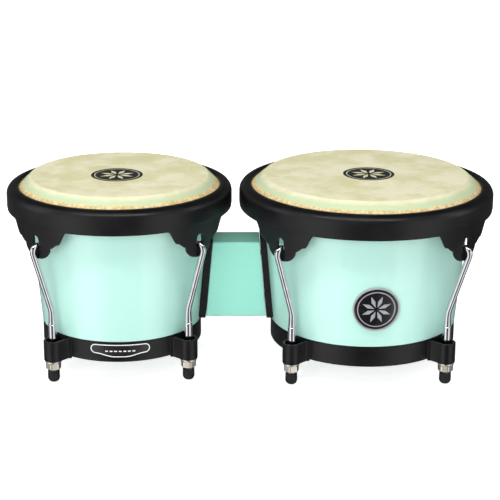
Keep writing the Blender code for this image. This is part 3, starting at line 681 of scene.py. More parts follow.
def add_skin(drum, materials):
    """The skin, with small waves where it is drawn over the hoop and a ridge where its tucked
    edge ends under the collar."""
    section = skin_section(drum)
    ridge = drum.bearing_radius + 7.0 * MM
    steps = 2 * FINE
    loops = []
    for i in range(steps):
        a = 2 * pi * i / steps
        c, s = cos(a), sin(a)
        loop = []
        for r, z in section:
            place = Vector((r * c, r * s, z))
            slack = min(1.0, max(0.0, (r - drum.bearing_radius) / (8 * MM)))
            wave = noise.noise(place * 55 + Vector((drum.axis_x * 100, 0, 0))) * 0.22 * MM * slack
            fold = noise.noise(Vector((a * 9, r * 20, drum.axis_x * 90))) * 0.12 * MM * slack
            lift = 0.25 * MM * max(0.0, 1 - abs(r + 12 * wave - ridge) / (0.9 * MM))
            if z < Z_HOOP:
                lift = 0.0
            loop.append((place.x, place.y, z + wave * 0.5 + fold + lift))
        loops.append(loop)
    mesh = loops_mesh(f"{drum.name}_skin_piece", loops)
    mesh.transform(at_drum(drum))
    piece = add_piece(f"{drum.name}_skin_piece", mesh, materials[f"{drum.name}_hide"], None,
                      [f"{drum.name}_skin"])
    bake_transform(piece)


def add_hoop(drum, materials):
    wire = arc((drum.hoop_radius, Z_HOOP), HOOP_WIRE, 0, 2 * pi, 20)[:-1]
    add_piece(f"{drum.name}_flesh_hoop_piece", turned_mesh("hoop", wire), materials["steel"],
              drum.tuning_body, [f"{drum.name}_flesh_hoop"], at_drum(drum))


# ---------------------------------------------------------------- rim

def ease(t):
    """0 to 1 with level ends."""
    return t * t * (3 - 2 * t)


def ear_edge(offset):
    """Height of the rim's lower edge at a distance round from the middle of an ear."""
    if offset <= LOBE_HALF_WIDTH:
        return Z_EAR_TIP + LOBE_HEIGHT * (1 - sqrt(1 - (offset / LOBE_HALF_WIDTH) ** 2))
    for (outer, z_outer), (inner, z_inner) in zip(EAR_STEPS, EAR_STEPS[1:]):
        if inner <= offset <= outer:
            return z_outer + (z_inner - z_outer) * ease((outer - offset) / (outer - inner))
    return Z_RIM_EDGE


def rim_section(drum, z_edge):
    """The pressed sheet from its folded inner lip, over the top and down to its lower edge."""
    outer = drum.rim_radius
    shoulder = (outer - SHOULDER, Z_RIM_TOP - SHOULDER)

    def skirt(z, inset):
        return outer - SKIRT_STEP - EAR_LEAN * (Z_SKIRT_KNEE - z) - inset

    lip_outer = (outer - LIP_INSET, Z_RIM_TOP - LIP_DROP)
    lip_inner = (outer - LIP_INSET, Z_RIM_TOP - LIP_DROP - LIP_THICKNESS)
    crest = (outer - TOP_INSET, Z_RIM_TOP)
    # the lip rises to the flat top in one soft curve
    climb = [(lip_outer[0] + (crest[0] - lip_outer[0]) * i / 6,
              lip_outer[1] + (crest[1] - lip_outer[1]) * sin(pi / 2 * i / 6)) for i in range(7)]
    edge_round = 0.45 * SHEET
    rows = 9
    outside = climb + arc(shoulder, SHOULDER, pi / 2, 0, 14)
    outside += [(outer, Z_WALL_BOTTOM + 4 * MM), (outer, Z_WALL_BOTTOM)]
    knee = [(outer - SKIRT_STEP * ease(i / 5), Z_WALL_BOTTOM + (Z_SKIRT_KNEE - Z_WALL_BOTTOM) * i / 5)
            for i in range(1, 6)]
    z_last = z_edge + edge_round
    outside += knee
    outside += [(skirt(z, 0), z) for z in (Z_SKIRT_KNEE + (z_last - Z_SKIRT_KNEE) * i / rows
                                           for i in range(1, rows + 1))]
    turn = arc((skirt(z_edge, SHEET / 2), z_last), SHEET / 2, 0, -pi, 6)[1:-1]
    edge = [(x, z_last + (z - z_last) * edge_round / (SHEET / 2)) for x, z in turn]
    inside = [(skirt(z, SHEET), z) for z in (Z_SKIRT_KNEE + (z_last - Z_SKIRT_KNEE) * i / rows
                                             for i in range(rows, 0, -1))]
    inside += [(x - SHEET, z) for x, z in reversed(knee)]
    inside += [(outer - SHEET, Z_WALL_BOTTOM)]
    inside += arc(shoulder, SHOULDER - SHEET, 0, pi / 2, 8)
    inside += [(outer - TOP_INSET, Z_RIM_TOP - FOLD_THICKNESS), lip_inner]
    return outside + edge + inside


def rim_columns(drum):
    """(azimuth, height of the lower edge) round the rim, closely spaced at the ears."""
    half_ear = EAR_STEPS[0][0] / drum.rim_radius
    ears = [azimuth + drum.turn for azimuth in LUGS.values()]
    columns = []
    for ear in ears:
        count = 96
        for i in range(count + 1):
            turn = half_ear * (2 * i / count - 1)
            columns.append((ear + turn, ear_edge(min(abs(turn) * drum.rim_radius, EAR_STEPS[0][0]))))
    gap = pi / 2 - 2 * half_ear
    plain = ceil(gap / radians(1.6))
    for ear in ears:
        for i in range(1, plain):
            columns.append((ear + half_ear + gap * i / plain, Z_RIM_EDGE))
    return sorted(((a % (2 * pi)), z) for a, z in columns)


def hole_cutter(drum, azimuth):
    """A teardrop prism through one ear."""
    bottom = arc((0, Z_HOLE), HOLE_RADIUS, radians(170), radians(370), 28)
    tip = arc((0, Z_HOLE_TIP - HOLE_TIP), HOLE_TIP, radians(10), radians(170), 14)
    out = Vector((cos(azimuth), sin(azimuth), 0))
    along = Vector((-out.y, out.x, 0))
    loops = [[out * r + along * s + UP * z for s, z in bottom + tip]
             for r in (drum.rim_radius - TOP_INSET, drum.rim_radius + SHEET)]
    return loops_mesh("hole_cutter", loops, ring=False)


def add_rim(drum, materials):
    loops = [[(r * cos(a), r * sin(a), z) for r, z in rim_section(drum, z_edge)]
             for a, z_edge in rim_columns(drum)]
    mesh = loops_mesh(f"{drum.name}_rim_piece", loops)
    mesh = apply_boolean(mesh, [hole_cutter(drum, a + drum.turn) for a in LUGS.values()])
    add_piece(f"{drum.name}_rim_piece", mesh, materials["black_steel"], drum.tuning_body,
              [f"{drum.name}_rim"], at_drum(drum))


# ---------------------------------------------------------------- bottom ring with its loops

def add_bottom_ring(drum, materials):
    band = drum.band_radius
    flange = drum.shell_radius(Z_BAND_BOTTOM) - WALL
    z_flange_top = Z_BAND_BOTTOM + BAND_SHEET
    section = rounded([
        (band, Z_BAND_TOP, 0.5 * MM),
        (band, Z_BAND_BOTTOM, 1.6 * MM),
        (flange, Z_BAND_BOTTOM, 0.5 * MM),
        (flange, z_flange_top, 0.5 * MM),
        (band - BAND_SHEET, z_flange_top, 0.5 * MM),
        (band - BAND_SHEET, Z_BAND_TOP, 0.5 * MM),
    ])
    add_piece(f"{drum.name}_band", turned_mesh("band", section), materials["black_steel"],
              ROOT_BODY, [f"{drum.name}_bottom_ring"], at_drum(drum))
    strap = loop_mesh(drum)
    beads = joined_mesh("beads", [weld_bead(drum, side) for side in (-1, 1)])
    for place, azimuth in LUGS.items():
        matrix = at_drum(drum) @ Matrix.Rotation(azimuth + drum.turn, 4, "Z")
        piece = add_piece(f"{drum.name}_loop_{place}", strap, materials["black_steel"], ROOT_BODY,
                          [f"{drum.name}_bottom_ring"], matrix)
        add_bevel(piece, 0.4 * MM)
        add_piece(f"{drum.name}_welds_{place}", beads, materials["black_steel"], ROOT_BODY,
                  [f"{drum.name}_bottom_ring"], matrix)


def loop_mesh(drum):
    """One loop, +X outwards: a strap bent round the thread, with its feet on the band."""
    center = drum.lug_radius
    root = drum.band_radius - LOOP_ROOT
    foot_end = drum.band_radius + LOOP_FOOT
    inner_radius = LOOP_RADIUS - LOOP_STRAP
    foot = LOOP_RADIUS + LOOP_FLARE
    flare = [(root + (foot_end - root) * i / 5, -foot + (foot - LOOP_RADIUS) * ease(i / 5)) for i in range(6)]
    outline = flare + arc((center, 0), LOOP_RADIUS, -pi / 2, pi / 2, 28)
    outline += [(x, -y) for x, y in reversed(flare)]
    outline += [(root, inner_radius)] + arc((center, 0), inner_radius, pi / 2, -pi / 2, 24)
    outline += [(root, -inner_radius)]
    loops = [[(x, y, z) for x, y in outline] for z in (Z_LOOP_BOTTOM, Z_LOOP_BOTTOM + LOOP_HEIGHT)]
    return loops_mesh(f"{drum.name}_strap", loops, ring=False)


def weld_bead(drum, side):
    """An uneven bead up the corner between a loop's foot and the band."""
    y = side * (LOOP_RADIUS + LOOP_FLARE - 0.2 * MM)
    x = sqrt(drum.band_radius ** 2 - y ** 2) + 0.1 * MM
    loops = []
    for i in range(WELD_ROWS + 1):
        t = i / WELD_ROWS
        z = Z_LOOP_BOTTOM + WELD_MARGIN + (LOOP_HEIGHT - 2 * WELD_MARGIN) * t
        swell = 0.85 + 0.15 * abs(sin(t * 19)) + 0.12 * noise.noise(Vector((t * 14, side, drum.axis_x * 70)))
        radius = WELD_RADIUS * swell * min(1.0, 0.35 + 6 * t, 0.35 + 6 * (1 - t))
        loops.append([(x + across, y + along, z) for across, along in circle(radius, WELD_SIDES)])
    return loops_mesh("weld_bead", loops, ring=False)


# ---------------------------------------------------------------- tuning hooks, nuts, washers, caps

def hook_path(drum):
    """(distance from the thread's axis, height) of the rod's middle from the shank's top on."""
    center = (drum.rim_radius - HOOK_INSET - drum.lug_radius, Z_HOOK)
    rise = Z_HOOK - Z_KNEE
    lean = atan2(center[0], rise) + asin(HOOK_BEND / hypot(center[0], rise))
    z_bend = Z_KNEE - KNEE_BEND * tan(lean / 2)
    path = arc((KNEE_BEND, z_bend), KNEE_BEND, pi, pi - lean, 12)
    path += arc(center, HOOK_BEND, -lean, pi, 30)
    path += [(center[0] - HOOK_BEND, Z_HOOK - HOOK_TIP * t) for t in (0.4, 0.8)]
    return path


def hook_mesh(drum, sides=24):
    """A round rod: a rolled thread, a plain shank, then the thinner rod with its bends."""
    rows = []
    steps = round((Z_THREAD_TOP - Z_ROD_END) / PITCH * THREAD_STEPS)
    for i in range(steps + 1):
        z = Z_ROD_END + (Z_THREAD_TOP - Z_ROD_END) * i / steps
        fade = min(1.0, i / THREAD_FADE, (steps - i) / THREAD_FADE)
        rows.append((0, z, SHANK, THREAD_DEPTH * fade))
    rows[0] = (0, Z_ROD_END, SHANK - THREAD_DEPTH, 0)
    rows += [(0, Z_SHANK_TOP - 0.6 * MM, SHANK, 0), (0, Z_SHANK_TOP, SHANK - 0.5 * MM, 0)]
    path = hook_path(drum)
    rows.append((0, Z_SHANK_TOP + 0.3 * MM, ROD + 0.3 * MM, 0))
    rows += [(x, max(z, Z_SHANK_TOP + 0.5 * MM), ROD, 0) for x, z in path]
    tip = path[-1]
    for t in (0.35, 0.65, 0.87, 1.0):
        rows.append((tip[0], tip[1] - HOOK_TIP * 0.2 * t, ROD * max(0.3, sqrt(1 - t * t)), 0))
    loops = []
    for i, (x, z, radius, depth) in enumerate(rows):
        before = rows[max(i - 1, 0)]
        after = rows[min(i + 1, len(rows) - 1)]
        along = Vector((after[0] - before[0], 0, after[1] - before[1])).normalized()
        outward = Vector((along.z, 0, -along.x))
        loop = []
        for k in range(sides):
            a = 2 * pi * k / sides
            groove = depth * abs(2 * ((z / PITCH - k / sides) % 1.0) - 1)
            r = radius - groove
            loop.append(Vector((x, 0, z)) + outward * r * cos(a) + Vector((0, r * sin(a), 0)))
        loops.append(loop)
    return loops_mesh(f"{drum.name}_hook_rod", loops, ring=False)


def hex_nut_mesh(name, across_flats, bore, height, steps=72):
    """A six-sided nut with chamfered corners on both faces. No bore makes a bolt's head."""
    inner = across_flats / 2
    start = 0.94 * inner
    chamfer = tan(radians(30))
    loops = []
    for i in range(steps):
        a = 2 * pi * i / steps
        side = (a + pi / 6) % (pi / 3) - pi / 6
        outer = inner / cos(side)
        outer -= 0.25 * MM * max(0.0, abs(side) - radians(26)) / radians(4)
        drop = (outer - start) * chamfer
        section = [(bore + 0.5 * MM if bore else 0, height), (start, height), (outer, height - drop),
                   (outer, drop), (start, 0), (bore + 0.5 * MM if bore else 0, 0)]
        if bore:
            section += [(bore, 0.5 * MM), (bore, height - 0.5 * MM)]
        loops.append([(r * cos(a), r * sin(a), z) for r, z in section])
    return loops_mesh(name, loops)


def cap_mesh():
    """A rubber cup over the thread's end, a little narrower at its mouth, with a rounded foot."""
    dome = CAP_RADIUS - CAP_FLAT
    bore = SHANK + GAP
    z_floor = Z_ROD_END - GAP
    foot = arc((CAP_FLAT, dome), dome, -pi / 2, 0, 10)
    body = [(CAP_RADIUS, Z_CAP_TOP * 0.6), (CAP_RADIUS - 0.12 * MM, Z_CAP_TOP - 0.9 * MM)]
    lip = arc((CAP_RADIUS - 0.7 * MM, Z_CAP_TOP - 0.5 * MM), 0.5 * MM, 0, pi, 6)
    section = [(0, 0)] + foot + body + lip + [(bore, Z_CAP_TOP - 0.5 * MM), (bore, z_floor), (0, z_floor)]
    return turned_mesh("cap", section, 48)


def washer_mesh():
    bore = SHANK + GAP
    corners = [(bore, 0, 0.2 * MM), (WASHER_RADIUS, 0, 0.5 * MM),
               (WASHER_RADIUS, WASHER_THICKNESS, 0.5 * MM), (bore, WASHER_THICKNESS, 0.2 * MM)]
    return turned_mesh("washer", rounded(corners), 64)


def add_lugs(drum, materials):
    hook = hook_mesh(drum)
    cap = cap_mesh()
    nut = hex_nut_mesh("tuning_nut", NUT_ACROSS_FLATS, SHANK + GAP, NUT_HEIGHT)
    washer = washer_mesh()
    for place, diagonal in LUGS.items():
        matrix = at_lug(drum, diagonal + drum.turn)
        tag = f"{drum.name}_{{}}_{place}"
        pieces = (
            ("tuning_hook", hook, "chrome", drum.tuning_body, 0),
            ("foot_cap", cap, "rubber", drum.tuning_body, 0),
            ("tuning_nut", nut, "nickel", f"{drum.name}_nut_{place}", Z_NUT_BOTTOM),
            ("washer", washer, "nickel", ROOT_BODY, Z_WASHER),
        )
        for kind, mesh, slot, body, height in pieces:
            add_piece(tag.format(f"{kind}_piece"), mesh, materials[slot], body,
                      [tag.format(kind)], matrix @ Matrix.Translation((0, 0, height)))


# ---------------------------------------------------------------- centre block, gaskets, bolts

def block_end_x(drum, z, distance):
    """World X of the plane that stands this far off the shell's nearest line."""
    return drum.axis_x + drum.side * (drum.shell_radius(z) + distance / cos(TAPER_ANGLE))


def block_loops(margin, low, high):
    outline = rounded_rectangle(BLOCK_HALF_DEPTH - margin, low, high, BLOCK_EDGE)
    distance = GASKET + 2 * GAP + margin
    return [[(block_end_x(drum, z, distance), y, z) for y, z in outline] for drum in DRUMS]


def add_center_block(materials):
    """A moulded box, closed all round and open underneath."""
    mesh = loops_mesh("center_block_piece", block_loops(0, Z_BLOCK_BOTTOM, Z_BLOCK_TOP), ring=False)
    hollow = loops_mesh("hollow", block_loops(BLOCK_WALL, Z_BLOCK_BOTTOM - 2 * BLOCK_WALL,
                                              Z_BLOCK_TOP - BLOCK_WALL), ring=False)
    holes = [cutter for drum in DRUMS for cutter in bolt_cutters(drum, Matrix.Identity(4))]
    mesh = apply_boolean(mesh, [hollow] + holes)
    piece = add_piece("center_block_piece", mesh, materials["block"], ROOT_BODY, ["center_block"])
    add_bevel(piece, 0.5 * MM)


def add_gasket(drum, materials):
    """A rubber saddle between the block and the shell, with rounded corners and soft edges."""
    low, high = Z_BLOCK_BOTTOM - GASKET_MARGIN, Z_BLOCK_TOP + GASKET_MARGIN
    half = BLOCK_HALF_DEPTH + GASKET_MARGIN
    corner = [low + GASKET_EDGE * (1 - cos(pi / 2 * i / 6)) for i in range(7)]
    middle = [low + GASKET_EDGE + (high - low - 2 * GASKET_EDGE) * i / 10 for i in range(1, 10)]
    heights = corner + middle + [low + high - z for z in reversed(corner)]
    across = 20
    verts = []
    for z in heights:
        into_corner = max(0.0, GASKET_EDGE - min(z - low, high - z))
        width = half - GASKET_EDGE + sqrt(max(0.0, GASKET_EDGE ** 2 - into_corner ** 2))
        for i in range(across + 1):
            y = width * (2 * i / across - 1)
            radius = drum.shell_radius(z) + GAP
            wobble = 0.25 * MM * noise.noise(Vector((y * 60, z * 60, drum.axis_x * 50)))
            verts.append((drum.axis_x + drum.side * (sqrt(radius ** 2 - y ** 2)), y, z + wobble * 0.5))
            verts.append((block_end_x(drum, z, GASKET + GAP), y, z + wobble * 0.5))
    faces = []
    row = 2 * (across + 1)
    for j in range(len(heights) - 1):
        for i in range(across):
            a = j * row + 2 * i
            faces.append((a, a + 2, a + 2 + row, a + row))
            faces.append((a + 1, a + 3, a + 3 + row, a + 1 + row))
        for a in (j * row, j * row + 2 * across):
            faces.append((a, a + 1, a + 1 + row, a + row))
    for start in (0, (len(heights) - 1) * row):
        for i in range(across):
            a = start + 2 * i
            faces.append((a, a + 1, a + 3, a + 2))
    mesh = finished_mesh(f"{drum.name}_gasket_piece", verts, faces)
    mesh = apply_boolean(mesh, bolt_cutters(drum, Matrix.Identity(4)))
    piece = add_piece(f"{drum.name}_gasket_piece", mesh, materials["rubber"], ROOT_BODY,
                      [f"{drum.name}_gasket"])
    add_bevel(piece, 0.7 * MM)


def add_block_bolts(drum, materials):
    """The backing plate inside the shell, the bolts through it and their nuts in the block."""
    axis_distance = drum.shell_radius(Z_BLOCK_MIDDLE) / cos(TAPER_ANGLE)
    outer = axis_distance - WALL - 0.35 * MM
    inner = outer - PLATE
    outline = arc((-axis_distance, 0), outer, -PLATE_HALF_ANGLE, PLATE_HALF_ANGLE, 16)
    outline += arc((-axis_distance, 0), inner, PLATE_HALF_ANGLE, -PLATE_HALF_ANGLE, 16)
    heights = (-PLATE_HALF_HEIGHT, PLATE_HALF_HEIGHT)
    plate = loops_mesh("plate", [[(x, y, z) for x, y in outline] for z in heights], ring=False)
    plate = apply_boolean(plate, bolt_cutters(drum, at_joint(drum).inverted()))
    piece = add_piece(f"{drum.name}_backing_plate_piece", plate, materials["steel"], ROOT_BODY,
                      [f"{drum.name}_backing_plate"], at_joint(drum))
    add_bevel(piece, 0.3 * MM)

    head_seat = inner - axis_distance - 2 * GAP
    nut_seat = 3 * GAP + GASKET + BLOCK_WALL
    bolt_end = nut_seat + BOLT_NUT_HEIGHT + BOLT_TAIL
    head = hex_nut_mesh("bolt_head", BOLT_HEAD_ACROSS_FLATS, 0, BOLT_HEAD_HEIGHT)
    stem_section = rounded([(0, -1 * MM, 0), (BOLT, -1 * MM, 0), (BOLT, bolt_end - head_seat, 0.5 * MM),
                            (0, bolt_end - head_seat, 0)])
    stem = turned_mesh("bolt_stem", stem_section, 32)
    head.transform(Matrix.Translation((0, 0, -BOLT_HEAD_HEIGHT)))
    bolt = joined_mesh("block_bolt", [head, stem])
    nut = hex_nut_mesh("block_nut", BOLT_HEAD_ACROSS_FLATS, BOLT_HOLE, BOLT_NUT_HEIGHT)
    for place, side in (("upper", 1), ("lower", -1)):
        lying = at_joint(drum) @ Matrix.Translation((0, 0, side * BOLT_PITCH / 2))
        lying = lying @ Matrix.Rotation(pi / 2, 4, "Y")
        add_piece(f"{drum.name}_block_bolt_{place}_piece", bolt, materials["steel"], ROOT_BODY,
                  [f"{drum.name}_block_bolt_{place}"], lying @ Matrix.Translation((0, 0, head_seat)))
        add_piece(f"{drum.name}_block_nut_{place}_piece", nut, materials["steel"], ROOT_BODY,
                  [f"{drum.name}_block_nut_{place}"], lying @ Matrix.Translation((0, 0, nut_seat)))


# ---------------------------------------------------------------- badge and label

def on_badge(sideways, up, lift):
    """A point of the badge's flat pattern, laid round the large shell's taper."""
    radius = LARGE.shell_radius(Z_BADGE + up)
    azimuth = BADGE_AZIMUTH + sideways / radius
    outer = radius + lift
    return LARGE.center + Vector((outer * cos(azimuth), outer * sin(azimuth), Z_BADGE + up))


def on_label(sideways, up, lift):
    """A point of the label's flat pattern, laid round the small drum's band."""
    azimuth = LABEL_AZIMUTH + sideways / SMALL.band_radius
    radius = SMALL.band_radius + lift
    return SMALL.center + Vector((radius * cos(azimuth), radius * sin(azimuth), Z_LABEL + up))


def circle(radius, count):
    return [(radius * cos(2 * pi * i / count), radius * sin(2 * pi * i / count)) for i in range(count)]


def line_mesh(name, path, lay, half_width, low, high):
    """A closed flat line of even width along a path of (sideways, up) points."""
    loops = []
    for i, point in enumerate(path):
        along = Vector(path[(i + 1) % len(path)]) - Vector(path[i - 1])
        out = Vector((along.y, -along.x)).normalized() * half_width
        sides = ((-1, low), (-1, high), (1, high), (1, low))
        loops.append([lay(point[0] + side * out.x, point[1] + side * out.y, lift) for side, lift in sides])
    return loops_mesh(name, loops)


def plate_mesh(name, rings, lay):
    """A thin plate from rings of (outline, lift), closed in the middle on both faces."""
    return loops_mesh(name, [[lay(s, u, lift) for s, u in outline] for outline, lift in rings], ring=False)


def petal_outline(angle, radius):
    """A slim pointed petal on a line from the badge's middle."""
    middle, half_length, half_width = (share * radius for share in
                                       (PETAL_MIDDLE, PETAL_HALF_LENGTH, PETAL_HALF_WIDTH))
    corners = ((middle - half_length, 0), (middle, half_width),
               (middle + half_length, 0), (middle, -half_width))
    points = []
    for (a, b), (c, d) in zip(corners, corners[1:] + corners[:1]):
        points += [(a + (c - a) * i / 4, b + (d - b) * i / 4) for i in range(4)]
    return [(x * cos(angle) - y * sin(angle), x * sin(angle) + y * cos(angle)) for x, y in points]


def add_badge(materials):
    """A black disc with a raised star of eight petals, inside a metal ring."""
    under = 0.35 * MM
    over = under + BADGE_THICKNESS
    rows = [(BADGE_RADIUS * share, under) for share in (0.02, 0.3, 0.6, 0.9)]
    rows += [(BADGE_RADIUS, under + 0.2 * MM), (BADGE_RADIUS, over - 0.5 * MM),
             (BADGE_RADIUS - 0.4 * MM, over - 0.1 * MM)]
    rows += [(BADGE_RADIUS * share, over) for share in (0.94, 0.7, 0.45, 0.2, 0.02)]
    disc = plate_mesh("badge_disc", [(circle(radius, BADGE_FACETS), lift) for radius, lift in rows], on_badge)
    add_piece("badge_disc", disc, materials["badge"], ROOT_BODY, ["badge"])

    low = over - STAR_SINK
    high = over + STAR_RELIEF
    petals = []
    for k in range(8):
        outline = petal_outline(pi / 8 + k * pi / 4, BADGE_RADIUS)
        petals.append(plate_mesh("petal", [(outline, low), (outline, high)], on_badge))
    petals.append(line_mesh("circle_line", circle(RING_RADIUS * BADGE_RADIUS, BADGE_FACETS), on_badge,
                            STAR_LINE, low, high))
    star = add_piece("badge_star", joined_mesh("badge_star", petals), materials["bezel"], ROOT_BODY,
                     ["badge"])
    add_bevel(star, 0.1 * MM, 2)

    middle = (BEZEL_INNER + BEZEL_OUTER) / 2
    half = (BEZEL_OUTER - BEZEL_INNER) / 2
    profile = rounded([(-half, under, 0), (-half, under + BEZEL_THICKNESS, 0.7 * half),
                       (half, under + BEZEL_THICKNESS, 0.9 * half), (half, under, 0)], 5)
    loops = []
    for i in range(BEZEL_FACETS):
        a = 2 * pi * i / BEZEL_FACETS
        loops.append([on_badge((middle + out) * cos(a), (middle + out) * sin(a), lift)
                      for out, lift in profile])
    add_piece("badge_bezel", loops_mesh("badge_bezel", loops), materials["bezel"], ROOT_BODY,
              ["badge_ring"])


def cartouche(half_length, half_height, sag):
    """A long plate outline: round ends, a straight top edge and a bottom that sags in the middle."""
    end = half_height * 0.72
    right = arc((half_length - end, half_height - end), end, pi / 2, -pi / 2, 14)
    low = half_height - 2 * end
    count = 20
    bottom = []
    for i in range(1, count):
        t = i / count
        bottom.append(((half_length - end) * (1 - 2 * t), low - sag * ease(min(1.0, 2.6 * min(t, 1 - t)))))
    left = [(-x, y) for x, y in reversed(right)]
    top = [((half_length - end) * (2 * i / count - 1), half_height) for i in range(1, count)]
    return right + bottom + left + top


def add_label(materials):
    """A black film on the band with a pale outline and a row of plain dashes."""
    film = cartouche(LABEL_HALF_LENGTH, LABEL_HALF_HEIGHT, LABEL_SAG)
    under = GAP
    over = GAP + LABEL_THICKNESS * 0.6
    loops = []
    for i in range(LABEL_STATIONS + 1):
        s = LABEL_HALF_LENGTH * (2 * i / LABEL_STATIONS - 1)
        low, high = film_edges(film, s)
        section = ((low, under), (low, over), (high, over), (high, under))
        loops.append([on_label(s, u, lift) for u, lift in section])
    add_piece("label_film", loops_mesh("label_film", loops, ring=False), materials["label"], ROOT_BODY,
              ["band_label"])

    raised = over + MARK_RELIEF
    outline = cartouche(LABEL_HALF_LENGTH - LABEL_INSET, LABEL_HALF_HEIGHT - LABEL_INSET, LINE_SAG)
    marks = [line_mesh("label_line", outline, on_label, LABEL_LINE, under, raised)]
    for k in range(-(DASH_COUNT // 2), DASH_COUNT // 2 + 1):
        dash = rounded_rectangle(1.3 * MM, -0.55 * MM, 0.55 * MM, 0.3 * MM, 3)
        dash = [(x + k * DASH_PITCH, y - 0.3 * MM) for x, y in dash]
        marks.append(plate_mesh("dash", [(dash, under), (dash, raised)], on_label))
    add_piece("label_marks", joined_mesh("label_marks", marks), materials["pale_ink"], ROOT_BODY,
              ["band_label"])


def film_edges(outline, s):
    """Lowest and highest point of a convex-sided outline at one station along it."""
    crossings = []
    for (a, b), (c, d) in zip(outline, outline[1:] + outline[:1]):
        if min(a, c) <= s <= max(a, c):
            crossings.append(b if a == c else b + (d - b) * (s - a) / (c - a))
    return min(crossings), max(crossings) + 0.001 * MM


# ---------------------------------------------------------------- studio

FLOOR_LIFT = 0.70                # added to what the camera sees of the floor
SKY = 0.42                       # even light from all round
LEFT_WALL = 0.75                 # brightness of the studio as mirror-like surfaces see it
RIGHT_WALL = 0.50 
BACK_WALL = 0.2
SIDE_STRIPS = 1.1                # two bright strips, to the left and right of the camera
FRONT_GAP = 0.12
CEILING = 0.15

def add_floor():
    """A plain white floor, lifted to a clean white for the camera, with soft contact shadows.
    Seen from below it is clear, so that the drums' undersides can be looked at."""
    bpy.ops.mesh.primitive_plane_add(size=24, location=(0, 0, -0.3 * MM))
    floor = bpy.context.object
    floor.name = "floor"
    floor.visible_glossy = False
    material = bpy.data.materials.new("floor")
    material.use_nodes = True
    tree = material.node_tree
    shader = tree.nodes["Principled BSDF"]
    shader.inputs["Base Color"].default_value = (0.93, 0.93, 0.93, 1)
    shader.inputs["Roughness"].default_value = 0.9
    shader.inputs["Specular IOR Level"].default_value = 0.0
    lift = tree.nodes.new("ShaderNodeEmission")
    ray = tree.nodes.new("ShaderNodeLightPath")
    strength = tree.nodes.new("ShaderNodeMath")
    strength.operation = "MULTIPLY"
    strength.inputs[1].default_value = FLOOR_LIFT
    tree.links.new(ray.outputs["Is Camera Ray"], strength.inputs[0])
    tree.links.new(strength.outputs[0], lift.inputs["Strength"])
    total = tree.nodes.new("ShaderNodeAddShader")
    tree.links.new(shader.outputs[0], total.inputs[0])
    tree.links.new(lift.outputs[0], total.inputs[1])
    below = tree.nodes.new("ShaderNodeBsdfTransparent")
    face = tree.nodes.new("ShaderNodeNewGeometry")
    choice = tree.nodes.new("ShaderNodeMixShader")
    tree.links.new(face.outputs["Backfacing"], choice.inputs[0])
    tree.links.new(total.outputs[0], choice.inputs[1])
    tree.links.new(below.outputs[0], choice.inputs[2])
    tree.links.new(choice.outputs[0], tree.nodes["Material Output"].inputs["Surface"])
    floor.data.materials.append(material)


def add_world():
    """White surroundings. Mirror-like surfaces see a studio: bright walls and floor on both
    sides, a dark gap behind the camera, and a dim ceiling."""
    world = bpy.data.worlds.new("studio")
    bpy.context.scene.world = world
    world.use_nodes = True
    tree = world.node_tree

    def node(kind, inputs, **settings):
        made = tree.nodes.new(kind)
        for key, value in settings.items():
            setattr(made, key, value)
        for key, value in inputs.items():
            if isinstance(value, bpy.types.NodeSocket):
                tree.links.new(value, made.inputs[key])
            else:
                made.inputs[key].default_value = value
        return made

    def fade(value, low, high, to_low, to_high):
        inputs = {"Value": value, "From Min": low, "From Max": high, "To Min": to_low, "To Max": to_high}
        return node("ShaderNodeMapRange", inputs, interpolation_type="SMOOTHSTEP").outputs["Result"]

    def times(a, b):
        return node("ShaderNodeMath", {0: a, 1: b}, operation="MULTIPLY").outputs[0]

    direction = node("ShaderNodeTexCoord", {}).outputs["Generated"]
    parts = node("ShaderNodeSeparateXYZ", {0: direction})
    toward_front = times(parts.outputs[1], -1.0)
    azimuth = node("ShaderNodeMath", {0: parts.outputs[0], 1: toward_front}, operation="ARCTAN2").outputs[0]
    off_front = node("ShaderNodeMath", {0: azimuth}, operation="ABSOLUTE").outputs[0]
    walls = times(fade(off_front, radians(9), radians(26), FRONT_GAP, 1.0),
                  fade(off_front, radians(50), radians(120), 1.0, BACK_WALL))
    walls = times(walls, fade(azimuth, radians(-50), radians(50), LEFT_WALL, RIGHT_WALL))
    strips = times(fade(off_front, radians(26), radians(36), 0.0, SIDE_STRIPS),
                   fade(off_front, radians(58), radians(74), 1.0, 0.0))
    walls = node("ShaderNodeMath", {0: walls, 1: strips}, operation="ADD").outputs[0]
    walls = times(walls, fade(parts.outputs[2], sin(radians(12)), sin(radians(40)), 1.0, CEILING))

    seen = node("ShaderNodeBackground", {"Strength": 1.05})
    soft = node("ShaderNodeBackground", {"Strength": SKY})
    studio = node("ShaderNodeBackground", {"Strength": walls})
    ray = node("ShaderNodeLightPath", {})
    first = node("ShaderNodeMixShader",
                 {0: ray.outputs["Is Camera Ray"], 1: soft.outputs[0], 2: seen.outputs[0]})
    second = node("ShaderNodeMixShader",
                  {0: ray.outputs["Is Glossy Ray"], 1: first.outputs[0], 2: studio.outputs[0]})
    tree.links.new(second.outputs[0], tree.nodes["World Output"].inputs["Surface"])


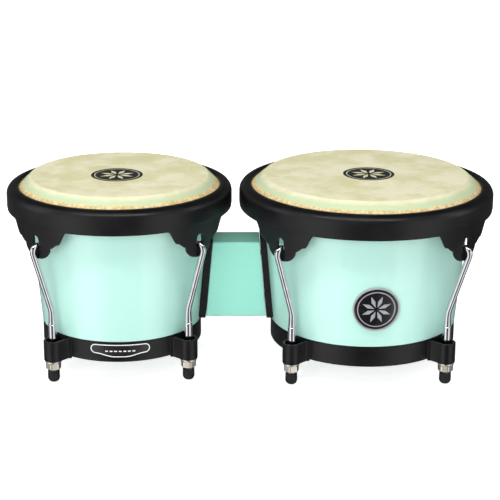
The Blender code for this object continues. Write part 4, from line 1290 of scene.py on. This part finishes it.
def add_softbox(name, azimuth, elevation, distance, width, height, power, tint=(1, 1, 1)):
    """A soft lamp aimed at the drums. Azimuth 0 is in front, 90 on the right."""
    light = bpy.data.lights.new(name, "AREA")
    light.shape = "RECTANGLE"
    light.size = width
    light.size_y = height
    light.energy = power
    light.color = tint
    lamp = bpy.data.objects.new(name, light)
    bpy.context.scene.collection.objects.link(lamp)
    a, e = radians(azimuth), radians(elevation)
    back = Vector((sin(a) * cos(e), -cos(a) * cos(e), sin(e)))
    lamp.location = Vector((0, 0, 0.1)) + back * distance
    lamp.rotation_mode = "QUATERNION"
    lamp.rotation_quaternion = back.to_track_quat("Z", "Y")
    return lamp


def add_lights():
    front = add_softbox("softbox_front", -14, 16, 2.2, 1.8, 1.2, 30.5)
    front.visible_glossy = False
    add_softbox("softbox_top", -8, 57, 1.5, 1.7, 0.24, 13.0)
    add_softbox("softbox_left", -86, 22, 1.3, 0.5, 1.2, 3.0, (0.93, 0.96, 1.0))
    add_softbox("softbox_right", 84, 22, 1.4, 0.4, 1.2, 3.0)
    back = add_softbox("softbox_back", 180, 26, 2.2, 1.8, 1.2, 16.0)
    back.visible_glossy = False


def add_camera():
    """The main viewpoint: in front, a little above, close to level."""
    pitch, yaw, roll = radians(17.44), radians(1.22), radians(0.38)
    forward = Vector((sin(yaw) * cos(pitch), cos(yaw) * cos(pitch), -sin(pitch)))
    level = Vector((cos(yaw), -sin(yaw), 0))
    above = level.cross(forward)
    right = level * cos(roll) + above * sin(roll)
    up = above * cos(roll) - level * sin(roll)
    data = bpy.data.cameras.new("camera")
    data.lens = 109.28
    data.sensor_width = 36.0
    data.shift_x = -0.0141
    data.shift_y = -0.0072
    data.clip_end = 50
    camera = bpy.data.objects.new("camera", data)
    bpy.context.scene.collection.objects.link(camera)
    rotation = Matrix((right, up, -forward)).transposed().to_4x4()
    camera.matrix_world = Matrix.Translation((-0.0230, -1.3918, 0.5491)) @ rotation
    bpy.context.scene.camera = camera


# ---------------------------------------------------------------- assembly

def build():
    materials = make_materials()
    for drum in DRUMS:
        add_shell(drum, materials)
        add_skin(drum, materials)
        add_hoop(drum, materials)
        add_rim(drum, materials)
        add_bottom_ring(drum, materials)
        add_lugs(drum, materials)
        add_gasket(drum, materials)
        add_block_bolts(drum, materials)
    add_center_block(materials)
    add_badge(materials)
    add_label(materials)
    add_floor()
    add_world()
    add_lights()
    add_camera()
    bpy.context.scene.view_settings.view_transform = "Standard"


build()
